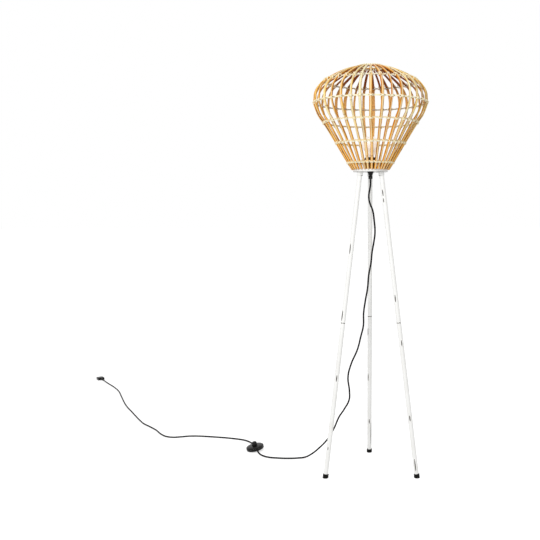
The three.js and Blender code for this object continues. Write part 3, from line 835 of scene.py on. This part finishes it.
globe_centre = bulb_high.z - BULB_RADIUS
cap_top = bulb_low.z + BULB_CAP_LENGTH
neck_radius = BULB_RADIUS * math.cos(BULB_NECK_ANGLE)
neck_height = globe_centre + BULB_RADIUS * math.sin(BULB_NECK_ANGLE)
globe_outline = [(BULB_CAP_RADIUS - 0.0005, cap_top - 0.002), (BULB_CAP_RADIUS - 0.0003, cap_top)]
for step in range(1, 6):
    share = step / 6
    radius = BULB_CAP_RADIUS + (neck_radius - BULB_CAP_RADIUS) * share**1.7
    globe_outline.append((radius, cap_top + (neck_height - cap_top) * share))
for step in range(25):
    angle = BULB_NECK_ANGLE + (math.radians(88) - BULB_NECK_ANGLE) * step / 24
    globe_outline.append(
        (BULB_RADIUS * math.cos(angle), globe_centre + BULB_RADIUS * math.sin(angle))
    )
opal_glass = Finish(
    "opal_glass", Roughness=0.22, Coat_Weight=0.3, Coat_Roughness=0.08, Emission_Strength=0.3
)
opal_glass.shader.inputs["Emission Color"].default_value = tint("fffaf2")
opal_cloud = opal_glass.noise(opal_glass.place(), 60.0, 3.0)
opal_glass.feed(Base_Color=opal_glass.mix(opal_cloud, "f8f6f0", "f1eee6"))
cap_metal = Finish("cap_metal", Metallic=1.0, Roughness=0.32)
cap_cloud = cap_metal.noise(cap_metal.place(), 300.0, 3.0)
cap_metal.feed(
    Base_Color=cap_metal.mix(cap_cloud, "c9c6be", "a8a49a"), Roughness=0.22 + 0.2 * cap_cloud
)
bulb_globe = turned("bulb_globe", globe_outline, 64)
cap_outline = [(0.004, bulb_low.z), (0.0085, bulb_low.z + 0.001)]
cap_outline.append((BULB_CAP_RADIUS - THREAD_DEPTH, bulb_low.z + 0.004))
pitch = (BULB_CAP_LENGTH - 0.009) / THREAD_TURNS
for thread in range(THREAD_TURNS * 4 + 1):
    radius = BULB_CAP_RADIUS - THREAD_DEPTH * (1 - math.cos(thread * math.pi / 2)) / 2
    cap_outline.append((radius, bulb_low.z + 0.005 + pitch * thread / 4))
cap_outline.append((BULB_CAP_RADIUS - 0.001, cap_top - 0.001))
bulb_cap = turned("bulb_screw_cap", cap_outline, 48)
dressed(bulb_globe, opal_glass, "bulb")
dressed(bulb_cap, cap_metal, "bulb")
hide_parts("bulb")
print("The globe's centre is", round(globe_centre, 4), "m above the floor")

# %% [markdown]
# ## The shade's line
# Every cane follows one line from the bottom of the shade to its top, over six wire hoops. The
# frame gives the hoops' radii and heights. Three stretches bulge a little between their hoops.

# %% Measure the hoops and draw the line
WIRE_RADIUS = 0.0015
CANE_COUNT = 34
CANE_THICKNESS = 0.006
CANE_FOOT_WIDTH = 0.009
CANE_TIP_WIDTH = 0.0054
CANE_WIDTH = 0.010
CANE_TAIL = Vector((-0.0152, -0.0235))
CANE_TIP = Vector((-0.0058, 0.0015))
FLANK_BOW = 0.005
SHOULDER_BOW = 0.0115
CROWN_BOW = 0.0066
FRONT_CANE_ANGLE = math.radians(-91)
CANE_STEP = 2 * math.pi / CANE_COUNT
CARRIER_HOOP = Vector((0.0762, plate_high.z + 0.030))
# Canes differ in width, as cut. The front one is first, then counter-clockwise.
WIDTH_SHARES = (
    1, 0.95, 0.65, 1.1, 0.85, 1.1, 0.9, 1.15, 0.8, 1, 1.2, 0.85, 1, 1.1, 0.9, 1, 0.75,
    1.2, 0.95, 0.75, 1.3, 1.25, 0.9, 1.05, 0.85, 1.15, 0.95, 1.1, 0.8, 1.2, 0.8, 1, 0.8, 0.95,
)
# They are bound by eye, so each stands some degrees off its even share of the round.
CANE_SHIFTS = (
    0, 0.5, -0.6, -0.5, -1, -1.2, -1.5, -1.4, -1.2, -1.2, -0.9, -0.6, -0.6, -0.9, -1.9, -1.3, -2.7,
    -3.6, -3, -3.6, -2.7, -2.3, -1.5, -1.1, -0.7, -0.3, 0.3, 0.9, 1.1, 0.9, 1, 1.6, 1.7, 0.2,
)


def cane_angle(number):
    """Where a cane stands on the round. The count runs on past the last one."""
    shift = math.radians(CANE_SHIFTS[number % CANE_COUNT])
    return FRONT_CANE_ANGLE + CANE_STEP * number + shift


def measured_hoop(node):
    """A hoop's radius and height, from the frame."""
    low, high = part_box(node)
    return Vector(((high.y - low.y) / 2 - WIRE_RADIUS, (low.z + high.z) / 2))


hoops = {"carrier": CARRIER_HOOP}
for name in ("low", "middle", "wide", "shoulder", "crown"):
    hoops[name] = measured_hoop(f"hoop_{name}")


def bowed(start, end, share, bow):
    """A point on a stretch that bulges outward."""
    along = end - start
    outward = Vector((along.y, -along.x)).normalized()
    return start + along * share + outward * 4 * bow * share * (1 - share)


shade_line = [hoops["carrier"] + CANE_TAIL]
shade_line += [hoops[name] for name in ("carrier", "low", "middle")]
shade_line += [bowed(hoops["middle"], hoops["wide"], s, FLANK_BOW) for s in (0.4, 0.75)]
shade_line += [hoops["wide"]]
shoulder_bow = [bowed(hoops["wide"], hoops["shoulder"], s, SHOULDER_BOW) for s in (0.33, 0.67)]
shade_line += [bowed(hoops["wide"], shoulder_bow[0], 0.5, 0)] + shoulder_bow
shade_line += [hoops["shoulder"]]
shade_line += [bowed(hoops["shoulder"], hoops["crown"], s, CROWN_BOW) for s in (0.25, 0.58, 0.83)]
shade_line += [hoops["crown"], hoops["crown"] + CANE_TIP]
print("Hoop radii:", {name: round(place.x, 4) for name, place in hoops.items()})

# %% [markdown]
# ## The canes
# Rattan is split lengthwise: the outside stays round and shiny, the inside is flat, rough and
# darker. Thin rings mark its joints. One straight half-round cane is modelled first, from a
# cylinder that is cut in half and divided along its length. Each cane of the shade is a copy
# with its own width and joints, bent over the line by a Curve modifier.

# %% Model one straight cane
CANE_SIDES = 20
CANE_DIVISIONS = 96

line_places = [(*place, 0) for place in shade_line]
bend_line = smooth_curve("shade_line", line_places, dimensions="2D", resolution_u=16)
cane_length = curve_length(bend_line)

straight_cane = added(
    bpy.ops.mesh.primitive_cylinder_add, "straight_cane", vertices=CANE_SIDES,
    radius=CANE_WIDTH / 2, depth=cane_length, location=(cane_length / 2, 0, 0),
    rotation=(0, math.pi / 2, 0),
)
with editing(settled(straight_cane)):
    bpy.ops.mesh.bisect(plane_no=(0, 1, 0), use_fill=True, clear_outer=True)
    bpy.ops.mesh.select_all(action="DESELECT")
    mesh = bmesh.from_edit_mesh(straight_cane.data)
    for edge in mesh.edges:
        edge.select_set(abs(edge.verts[0].co.x - edge.verts[1].co.x) > cane_length / 2)
    bmesh.update_edit_mesh(straight_cane.data)
    bpy.ops.mesh.subdivide(number_cuts=CANE_DIVISIONS - 1)
    bpy.ops.mesh.select_all(action="SELECT")
    flatten = 2 * CANE_THICKNESS / CANE_WIDTH
    bpy.ops.transform.resize(value=(1, flatten, 1), center_override=(0, 0, 0))
    bpy.ops.transform.translate(value=(0, -WIRE_RADIUS - SEAT_GAP, 0))
    turn_outward()
face_count = len(straight_cane.data.polygons)
print("A straight cane is", round(cane_length, 3), "m long, with", face_count, "faces")

# %% Say how wide a cane is along its length
# Full width is reached past the low hoop, and lost again over the crown.
WIDTH_REACHED = (0, 0, 0.6, 1, 1, 1, 1, 1, 1, 1, 1, 1, 0.8, 0.4, 0.08, 0)
line_steps = [(end - start).length for start, end in zip(shade_line, shade_line[1:])]
width_stations = [sum(line_steps[:index]) / sum(line_steps) for index in range(len(shade_line))]


def between(value, places, results):
    """Reads a value off a table, in straight lines between its places."""
    for index in range(len(places) - 1):
        if value <= places[index + 1]:
            share = (value - places[index]) / (places[index + 1] - places[index])
            return results[index] + (results[index + 1] - results[index]) * max(share, 0)
    return results[-1]


def cane_width(share, number):
    """Width of one cane at a share of its length."""
    end = CANE_FOOT_WIDTH if share < 0.5 else CANE_TIP_WIDTH
    full = CANE_WIDTH * WIDTH_SHARES[number % CANE_COUNT]
    return end + (full - end) * between(share, width_stations, WIDTH_REACHED)


# %% Let the lower ends slip
# The front canes were bound a little to the right of their line below the middle hoop.
FOOT_SLIP = 0.0036
SLIP_START = 0.38
SLIP_DONE = 0.2


def foot_slip(share, number):
    """How far a cane stands off its line at a share of its length, counter-clockwise."""
    front = max(0.0, math.cos(cane_angle(number) + math.pi / 2))
    done = (SLIP_START - share) / (SLIP_START - SLIP_DONE)
    return FOOT_SLIP * front**6 * min(max(done, 0.0), 1.0)


# %% Cut, shape and bend every cane
JOINT_SWELL = 0.0006
JOINT_HALF_LENGTH = 0.004
SWAY = 0.0013


def shaped(piece, number, chance):
    """Gives a straight cane its width, its joints and a slight sway, and records its grain."""
    knots = [chance.uniform(0.02, 0.18)]
    while knots[-1] < 0.9:
        knots.append(knots[-1] + chance.uniform(0.28, 0.5))
    tone = chance.random()
    shift = chance.uniform(0, 7)
    phase = chance.uniform(0, 2 * math.pi)
    swing = chance.uniform(0.3, 1.0) * SWAY
    grain = piece.data.attributes.new("grain", "FLOAT_VECTOR", "POINT")
    looks = piece.data.attributes.new("looks", "FLOAT_VECTOR", "POINT")
    flat = -WIRE_RADIUS - SEAT_GAP
    for vertex in piece.data.vertices:
        x, y, z = vertex.co
        share = x / cane_length
        across = z / (CANE_WIDTH / 2)
        outward = (flat - y) / CANE_THICKNESS
        distances = [abs(share - knot) * cane_length for knot in knots]
        knot = max(0.0, 1 - min(distances) / JOINT_HALF_LENGTH)
        width = cane_width(share, number)
        taper = (1 - 0.12 * share) * (0.96 + 0.04 * math.sin(phase + 9 * share))
        thickness = CANE_THICKNESS * taper
        window = math.sin(math.pi * min(max(share, 0), 1))
        vertex.co.z = across * width / 2 * (1 + 0.05 * knot)
        vertex.co.z += swing * window * math.sin(phase + 7 * share) - foot_slip(share, number)
        vertex.co.y = flat - outward * (thickness - JOINT_SWELL + JOINT_SWELL * knot)
        grain.data[vertex.index].vector = (across * width, outward * thickness, x + shift)
        looks.data[vertex.index].vector = (tone, outward, knot)
    return piece


stand_up = Matrix.Rotation(math.pi / 2, 4, "X")
cane_chance = random.Random(17)
canes = []
for number in range(CANE_COUNT):
    piece = shaped(copied(straight_cane, f"rattan_cane_{number + 1:02d}"), number, cane_chance)
    modified(piece, "CURVE", object=bend_line, deform_axis="POS_X")
    settled(piece, Matrix.Rotation(cane_angle(number), 4, "Z") @ stand_up)
    canes.append(smoothed(piece, 50))
bpy.data.objects.remove(straight_cane)
bpy.data.objects.remove(bend_line)
print("Made", len(canes), "canes of", len(canes[0].data.polygons), "faces")

# %% [markdown]
# The colour of a cane runs from deep honey to pale straw, a different tone for each. Its crest
# carries a painted highlight and its rounded edges a painted orange-brown shade, with fine fibres
# all along. The flat inside is rough brown wood, with painted light and shade by height: pale gold
# low down, darkest under the top. Two attributes of the mesh carry this: where a point is in the
# grain, and how it looks.

# %% Mix the rattan finish
rattan = Finish("rattan", Roughness=0.5, Specular_IOR_Level=0.15)
grain = rattan.attribute("grain")
tone, outward, knot = rattan.parts(rattan.attribute("looks"))
height = rattan.parts(rattan.place())[2]
fibre = rattan.noise(rattan.stretched(grain, (1.0, 1.0, 0.035)), 1500.0, 4.0, 0.6)
streak = rattan.noise(rattan.stretched(grain, (1.0, 1.0, 0.05)), 260.0, 3.0, 0.55)
blotch = rattan.noise(rattan.stretched(grain, (1.0, 1.0, 0.35)), 28.0, 4.0, 0.6)
skin = rattan.ramp(
    tone * 0.85 + (blotch - 0.5) * 1.3 + (streak - 0.5) * 1.6 + 0.1, (0.1, "d88212"),
    (0.33, "f7b23a"), (0.58, "ffd974"), (0.88, "fff6c8"),
)
skin = rattan.mix(height.ramp(1.28, 1.12) * 0.7, skin, "ffb018")
skin = rattan.mix(fibre.ramp(0.48, 0.7) * 0.45, skin, "c07a24")
skin = rattan.mix(streak.ramp(0.52, 0.6) * 0.8, skin, "7a3802")
# Painted highlight: the crest is lightened where it would catch the light.
skin = rattan.mix(outward.ramp(0.82, 1.0) * 0.6, skin, "fff7cc")
# Painted shade: the rounded edges are darkened where they turn away from the light.
skin = rattan.mix(outward.ramp(0.62, 0.12) * 0.95, skin, "8a4402")
# Painted light and shade: the inside is pale gold low down, where it faces up to the light, and
# dark brown under the top, where it faces away.
inside = rattan.mix(height.ramp(1.335, 1.395), "ffca7c", "8a4206")
inside = rattan.mix(streak.ramp(0.45, 0.75) * 0.4, inside, "b0661a")
colour = rattan.mix(outward.ramp(0.02, 0.12), inside, skin)
colour = rattan.mix(knot.ramp(0.35, 0.9) * 0.6, colour, "8a5526")
rattan.feed(
    Base_Color=colour, Roughness=0.62 - 0.2 * outward.ramp(0.1, 0.8) + 0.15 * (fibre - 0.5),
)
rattan.bump(fibre * 0.7 + streak * 0.5, 0.5, 0.0005)
for number, piece in enumerate(canes):
    dressed(piece, rattan)
    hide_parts(f"cane_{number + 1:02d}")
print("Rattan has", len(rattan.tree.nodes), "nodes")

# %% [markdown]
# ## The hoops
# Each hoop is a length of steel wire bent round and welded end to end. The weld is a small lump.
# The bottom hoop belongs to the carrier, whose three arms hold the shade on the plate.

# %% Bend the hoops and weld them
wire_finish = Finish("hoop_wire", Metallic=0.75, Roughness=0.45)
wire_cloud = wire_finish.noise(wire_finish.place(), 140.0, 4.0)
wire_finish.feed(
    Base_Color=wire_finish.mix(wire_cloud.ramp(0.3, 0.7), "9a968f", "c0bbb2"),
    Roughness=0.38 + 0.2 * wire_cloud,
)
wire_finish.bump(wire_finish.noise(wire_finish.place(), 1200.0), 0.3, 0.0002)
WELD_SWELL = 1.35

# A pale dull finish on the low and middle hoops stands for raffia wound round their wire.
WRAPPED_HOOPS = ("low", "middle")
wound_finish = Finish("wound_wire", Roughness=0.7, Specular_IOR_Level=0.2)
wound_cloud = wound_finish.noise(wound_finish.place(), 300.0, 4.0)
wound_finish.feed(Base_Color=wound_finish.mix(wound_cloud.ramp(0.3, 0.7), "cdbd92", "fbeec8"))
wound_finish.bump(wound_cloud, 0.4, 0.0003)


def wire_hoop(name, place):
    """A round hoop with a weld lump at the back."""
    piece = settled(flat_ring(name, place.x, WIRE_RADIUS, place.y, CANE_COUNT * 6, 12))
    weld = Vector((place.x * math.sin(CANE_STEP / 2), place.x * math.cos(CANE_STEP / 2), place.y))
    with editing(piece):
        select_where(piece, lambda place: (place - weld).length < WIRE_RADIUS * 1.2)
        bpy.ops.transform.resize(value=(WELD_SWELL,) * 3, center_override=weld)
    return smoothed(piece, 80)


for name in ("low", "middle", "wide", "shoulder", "crown"):
    piece = wire_hoop(f"wire_{name}", hoops[name])
    dressed(piece, wound_finish if name in WRAPPED_HOOPS else wire_finish)
    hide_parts(f"hoop_{name}")

# %% Bend the carrier's arms and set them on its hub
HUB_RADIUS = 0.025
HUB_THICKNESS = 0.002
ARM_START = 0.0215
ARM_BEND = Vector((0.044, 0.002))
ARM_KNEE = Vector((0.060, 0.012))
ARM_COUNT = 3

hub_bottom = plate_high.z + SEAT_GAP
arm_level = hub_bottom + WIRE_RADIUS
hub_top = hub_bottom + HUB_THICKNESS
hub = turned("carrier_hub", [
    (NIPPLE_HOLE, hub_bottom), (HUB_RADIUS, hub_bottom), (HUB_RADIUS, hub_top),
    (NIPPLE_HOLE, hub_top),
], 64, hollow=True, rounding=0.0003)
carrier_parts = [wire_hoop("carrier_hoop", CARRIER_HOOP), hub]
arm_steps = (Vector((ARM_START, 0)), ARM_BEND, ARM_KNEE)
arm_places = [(step.x, 0, arm_level + step.y) for step in arm_steps]
arm_places.append((CARRIER_HOOP.x, 0, CARRIER_HOOP.y))
for arm in range(ARM_COUNT):
    piece = smooth_curve(
        "carrier_arm", arm_places, dimensions="3D", bevel_depth=WIRE_RADIUS, bevel_resolution=3,
        use_fill_caps=True,
    )
    turn = Matrix.Rotation(2 * math.pi * (arm + 0.5) / ARM_COUNT, 4, "Z")
    carrier_parts.append(smoothed(settled(as_mesh(piece), turn), 60))
carrier = joined(carrier_parts, "carrier_with_arms")
dressed(carrier, wire_finish)
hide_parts("shade_carrier")
print("The carrier has", len(carrier.data.polygons), "faces")

# %% [markdown]
# ## The raffia binding
# Raffia lashes every cane to every hoop. Two strands run round each hoop. One passes over each
# cane from low left to high right, ducks behind the wire beside it, and comes back in front of
# the wire on its way to the next. The other does the opposite, so that a cross lies on every
# cane, and the wire is covered on the outside and bare inside. On the low and middle hoops the
# second strand comes back inside the wire instead, as winding would. Each strand is a few fibres
# wide, so it is drawn as fibres side by side. Their path comes from a formula, because it repeats.

# %% Lash the canes to the hoops
FIBRE_RADIUS = 0.0009
FIBRE_OFFSETS = (-0.0010, 0.0010)
LASH_RISES = {"carrier": 0.0026, "shoulder": 0.009}
LASH_RISE = 0.0036
OVER_STEPS = 7
# Between two canes: how far along, how far outside the wire's middle, and how far across it.
WIRE_PASSES = (
    (0.08, -1, 0.2), (0.2, -0.6, -0.9), (0.34, 0.9, -0.5), (0.6, 1, -0.3), (0.85, 1, -0.6),
)

raffia = Finish("raffia", Roughness=0.7, Specular_IOR_Level=0.2)
raffia_place = raffia.place()
raffia_cloud = raffia.noise(raffia_place, 55.0, 4.0)
raffia_fibre = raffia.noise(raffia_place, 1400.0, 3.0, 0.6)
raffia_colour = raffia.mix(raffia_cloud.ramp(0.3, 0.75), "fff8dc", "fff0c4")
raffia.feed(
    Base_Color=raffia.mix(raffia_fibre.ramp(0.5, 0.75) * 0.35, raffia_colour, "efd593"),
    Roughness=0.62 + 0.2 * raffia_fibre,
)
raffia.bump(raffia_fibre, 0.5, 0.0004)


def line_direction(name):
    """The way the canes run where they cross a hoop, and the way out of the shade there."""
    index = shade_line.index(hoops[name])
    along = (shade_line[index + 1] - shade_line[index - 1]).normalized()
    return along, Vector((along.y, -along.x))


def hoop_share(name):
    """How far up a cane a hoop lies, as a share of its length."""
    return width_stations[shade_line.index(hoops[name])]


def lash_path(name, hand, shift, chance):
    """Points of one fibre round a hoop. hand is 1 or -1. shift moves it along the canes."""
    hoop = hoops[name]
    along, outward = line_direction(name)
    share = hoop_share(name)
    points = []
    for number in range(CANE_COUNT):
        angle = cane_angle(number) + foot_slip(share, number) / hoop.x
        half = cane_width(share, number) / 2 + FIBRE_RADIUS
        next_half = cane_width(share, number + 1) / 2 + FIBRE_RADIUS
        rise = LASH_RISES.get(name, LASH_RISE) * chance.uniform(0.75, 1.2)
        slip = chance.uniform(-0.0006, 0.0006)
        base = WIRE_RADIUS + SEAT_GAP
        for step in range(OVER_STEPS):
            swing = math.pi * (step / (OVER_STEPS - 1) - 0.5)
            side = half * math.sin(swing)
            out = base + (CANE_THICKNESS + FIBRE_RADIUS) * math.cos(swing)
            up = hand * rise * swing / (math.pi / 2) + shift + slip
            points.append(hoop_point(hoop, along, outward, angle, side, out, up))
        start = angle + half / hoop.x
        end = cane_angle(number + 1) - next_half / hoop.x
        round_wire = WIRE_RADIUS + FIBRE_RADIUS
        wrapped = name in WRAPPED_HOOPS
        side_out = -1 if wrapped and hand < 0 else 1
        side_up = hand * (0.3 if wrapped else 1)
        for way, out_share, up_share in WIRE_PASSES:
            out = round_wire * out_share * side_out
            up = round_wire * up_share * side_up + shift * 0.6
            on_way = start + (end - start) * way
            points.append(hoop_point(hoop, along, outward, on_way, 0, out, up))
    return points


def hoop_point(hoop, along, outward, angle, side, out, up):
    """A point near a hoop, from its angle and its distances sideways, outward and up the cane."""
    radius = hoop.x + outward.x * out + along.x * up
    height = hoop.y + outward.y * out + along.y * up
    x = radius * math.cos(angle) - side * math.sin(angle)
    y = radius * math.sin(angle) + side * math.cos(angle)
    return (x, y, height)


def lashing(name, chance):
    """All the fibres of one hoop, as one piece."""
    data = bpy.data.curves.new(f"raffia_{name}", "CURVE")
    data.dimensions, data.resolution_u = "3D", 1
    data.bevel_depth, data.bevel_resolution = FIBRE_RADIUS, 1
    for hand in (1, -1):
        for shift in FIBRE_OFFSETS:
            points = lash_path(name, hand, shift, chance)
            spline = data.splines.new("POLY")
            spline.points.add(len(points) - 1)
            spline.use_cyclic_u = True
            for point, place in zip(spline.points, points):
                point.co = (*place, 1)
    as_mesh(linked(f"raffia_{name}", data))
    return smoothed(settled(new_piece(f"raffia_{name}")), 80)


lash_chance = random.Random(5)
for name in hoops:
    piece = lashing(name, lash_chance)
    dressed(piece, raffia)
    print("Raffia on the", name, "hoop has", len(piece.data.polygons), "faces")

# %% [markdown]
# ## The foot switch
# The switch is a round box in two halves, with a big button that a foot can find. The cord
# enters and leaves through two short necks of the lower half.

# %% Turn the switch's base, cover and button
NECK_RADIUS = 0.004
NECK_ROOT = 0.005
BASE_TOP = 0.0082
COVER_BOTTOM = 0.0085
COVER_TOP = 0.0151
COVER_WALL = 0.002
COVER_SKIRT = 0.00165
COVER_STEPS = 10
BUTTON_BOTTOM = 0.0115
BUTTON_TOP = 0.0286
BUTTON_RADIUS = 0.010
BUTTON_FLANGE = 0.013
BUTTON_FLANGE_THICKNESS = 0.0012

dish_outline = [(SWITCH_RADIUS - SWITCH_CHAMFER, 0.0)]
dish_outline += offsets(SWITCH_RADIUS, 0, (-0.3, 0.8), (0, 2))
dish_outline += offsets(SWITCH_RADIUS, BASE_TOP, (0, -1.2), (-0.6, -0.6), (-0.6, 0))
base_parts = [turned("base_dish", dish_outline, 96)]
neck_outline = [(NECK_RADIUS, SWITCH_RADIUS - NECK_ROOT)]
neck_outline += offsets(
    NECK_RADIUS, SWITCH_RADIUS, (0, 1.5), (-0.4, 2), (-0.4, 2.8), (0, 3.3), (-0.2, 4.5),
    (-0.6, 5), (-0.6, 5.8), (-0.3, 6.3),
)
neck_outline.append((NECK_RADIUS - 0.0006, SWITCH_REACH))
for side in (0, math.pi):
    neck = turned("base_neck", neck_outline, 32)
    lay = Matrix.Rotation(side, 4, "Z") @ Matrix.Translation((0, 0, SWITCH_PORT_HEIGHT))
    base_parts.append(settled(neck, lay @ Matrix.Rotation(math.pi / 2, 4, "Y")))
switch_base = settled(joined(base_parts, "switch_lower_half"), switch_matrix)
dressed(switch_base, black_plastic)
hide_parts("switch_base")

cover_outline = [(SWITCH_RADIUS - COVER_WALL, COVER_BOTTOM), (SWITCH_RADIUS, COVER_BOTTOM)]
hole = BUTTON_RADIUS + SEAT_GAP
level = COVER_BOTTOM + COVER_SKIRT
crown = COVER_TOP - level
inner_outline = []
for step in range(COVER_STEPS + 1):
    share = step / COVER_STEPS
    bulge = math.sqrt(1 - (1 - share) ** 2)
    for outline, wall in ((cover_outline, 0), (inner_outline, COVER_WALL)):
        radius = SWITCH_RADIUS - wall
        outline.append((radius - (radius - hole) * share, level + (crown - wall) * bulge))
cover_outline += inner_outline[::-1]
switch_cover = turned("switch_upper_half", cover_outline, 96, hollow=True)
settled(switch_cover, switch_matrix)
dressed(switch_cover, black_plastic)
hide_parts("switch_cover")

flange_top = BUTTON_BOTTOM + BUTTON_FLANGE_THICKNESS
button_outline = [(BUTTON_FLANGE, BUTTON_BOTTOM), (BUTTON_FLANGE, flange_top)]
button_outline.append((BUTTON_RADIUS, flange_top))
button_outline += offsets(
    BUTTON_RADIUS, BUTTON_TOP, (0, -3.2), (-0.3, -1.9), (-1.1, -0.8), (-2.4, -0.1)
)
for groove in (0.0068, 0.0054, 0.0040, 0.0026):
    button_outline += offsets(groove, BUTTON_TOP, (0, 0), (-0.3, -0.3), (-0.6, 0))
press_button = settled(turned("press_button", button_outline, 64), switch_matrix)
dressed(press_button, black_plastic, "switch_button")
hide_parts("switch_button")
print("The button stands", round((BUTTON_TOP - COVER_TOP) * 1000, 1), "mm above the cover")

# %% [markdown]
# ## The plug
# The picture ends before the cord does, so the plug is a plain flat two-pin one. Its body is a
# plate with drawn-in shoulders, rounded by a bevel. A ribbed sleeve takes the bend of the cord.

# %% Model the plug's body, sleeve and pins
PLUG_SLEEVE = 0.024
PLUG_BODY = 0.036
PLUG_HALF_WIDTH = 0.017
PLUG_HALF_TAIL = 0.0065
PLUG_SHOULDER = 0.015
PLUG_HEIGHT = 0.014
PLUG_EDGE = 0.0022
PIN_RADIUS = 0.002
PIN_LENGTH = 0.019
PIN_SPACING = 0.019
PLUG_ROOT = 0.004

body_centre = PLUG_SLEEVE + PLUG_BODY / 2
plug_body = added(
    bpy.ops.mesh.primitive_cube_add, "plug_body", size=1,
    location=(body_centre, 0, PLUG_AXIS_HEIGHT),
    scale=(PLUG_BODY, 2 * PLUG_HALF_WIDTH, PLUG_HEIGHT),
)
shoulder = PLUG_SLEEVE + PLUG_SHOULDER
draw_in = PLUG_HALF_TAIL / PLUG_HALF_WIDTH
tail = (PLUG_SLEEVE, 0, PLUG_AXIS_HEIGHT)
with editing(settled(plug_body)):
    bpy.ops.mesh.bisect(plane_co=(shoulder, 0, 0), plane_no=(1, 0, 0))
    select_where(plug_body, lambda place: place.x < PLUG_SLEEVE + 0.001)
    bpy.ops.transform.resize(value=(1, draw_in, 0.9), center_override=tail)
    turn_outward()
rounded(plug_body, PLUG_EDGE, 4, 15)
sleeve_outline = [(0.0042, 0.0)]
for rib in range(6):
    start = 0.0015 + rib * 0.0036
    radius = 0.0043 + 0.0012 * rib / 5
    sleeve_outline += offsets(radius, start, (0, 0), (0, 2), (-0.9, 2.4), (-0.9, 3.2))
sleeve_outline.append((0.0057, PLUG_SLEEVE + PLUG_ROOT))
lay_down = Matrix.Translation((0, 0, PLUG_AXIS_HEIGHT)) @ Matrix.Rotation(math.pi / 2, 4, "Y")
plug_sleeve = settled(turned("plug_sleeve", sleeve_outline, 32), lay_down)
plug_shell = settled(joined([smoothed(plug_body), plug_sleeve], "plug_shell"), plug_matrix)
dressed(plug_shell, black_plastic)
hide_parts("plug")

pins = []
pin_start = PLUG_SLEEVE + PLUG_BODY - PLUG_ROOT
pin_end = pin_start + PLUG_ROOT + PIN_LENGTH
pin_outline = [(PIN_RADIUS, pin_start)]
pin_outline += offsets(PIN_RADIUS, pin_end, (0, -1.2), (-0.4, -0.4), (-1, 0))
for side in (-1, 1):
    pin = turned("plug_pin", pin_outline, 24)
    pins.append(settled(pin, Matrix.Translation((0, side * PIN_SPACING / 2, 0)) @ lay_down))
plug_pins = settled(joined(pins, "plug_pins"), plug_matrix)
pin_metal = Finish("pin_metal", Metallic=1.0, Roughness=0.25)
pin_cloud = pin_metal.noise(pin_metal.place(), 400.0, 3.0)
pin_metal.feed(
    Base_Color=pin_metal.mix(pin_cloud, "cfc9bd", "b5ae9f"), Roughness=0.18 + 0.2 * pin_cloud
)
dressed(plug_pins, pin_metal)

for piece, node in ((hanging_cord, "cord_to_switch"), (floor_cord, "cord_to_plug")):
    dressed(piece, cord_sheath)
    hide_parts(node)
print("The cord is", round(hanging_length + floor_length, 2), "m long in all")

# %% [markdown]
# ## Floor, backdrop and light
# The picture's ground is plain white. The floor is a pale sheet that the camera sees lifted to
# white, while a soft shadow still falls on it. The world is plain white to the camera, and to
# everything else a soft even light. One broad lamp gives the pieces a lit and a shaded side.

# %% Spread the floor
FLOOR_SIDE = 60.0
plane = bpy.ops.mesh.primitive_plane_add
floor = settled(added(plane, "floor", size=FLOOR_SIDE, location=(0, 0, -0.0002)))
floor_finish = Finish("floor_white", Roughness=0.9)
floor_finish.shader.inputs["Base Color"].default_value = (0.8, 0.8, 0.8, 1)
floor_finish.shader.inputs["Specular IOR Level"].default_value = 0.0
glow = floor_finish.node("ShaderNodeEmission", None, {"Color": (1, 1, 1, 1), "Strength": 0.6})
own = Strand(floor_finish, floor_finish.shader.outputs[0])
lifted = floor_finish.node("ShaderNodeAddShader", None, {0: own, 1: glow})
shown = floor_finish.node("ShaderNodeMixShader", None, {0: floor_finish.seen(), 1: own, 2: lifted})
floor_output = floor_finish.tree.nodes["Material Output"]
floor_finish.tree.links.new(shown.link, floor_output.inputs["Surface"])
floor.data.materials.append(floor_finish.material)

# %% Set the world and the lamps
WORLD_STRENGTH = 0.6
world = bpy.data.worlds.new("studio")
scene.world = world
world.use_nodes = True
sky = Web(world.node_tree)
background = sky.tree.nodes["Background"]
background.inputs["Color"].default_value = (1, 1, 1, 1)
sockets = {"Value": sky.seen(), "To Min": WORLD_STRENGTH, "To Max": 1.0}
level = sky.node("ShaderNodeMapRange", None, sockets)
sky.tree.links.new(level.link, background.inputs["Strength"])


def soft_lamp(name, place, target, side, power):
    """A square lamp that faces a point."""
    data = bpy.data.lights.new(name, "AREA")
    data.size = side
    data.energy = power
    lamp = linked(name, data)
    lamp.location = place
    lamp.rotation_euler = (Vector(target) - Vector(place)).to_track_quat("-Z", "Y").to_euler()


soft_lamp("key", (-1.1, -2.9, 2.4), (0, 0, 1.0), 1.4, 60)
print("World strength", WORLD_STRENGTH)
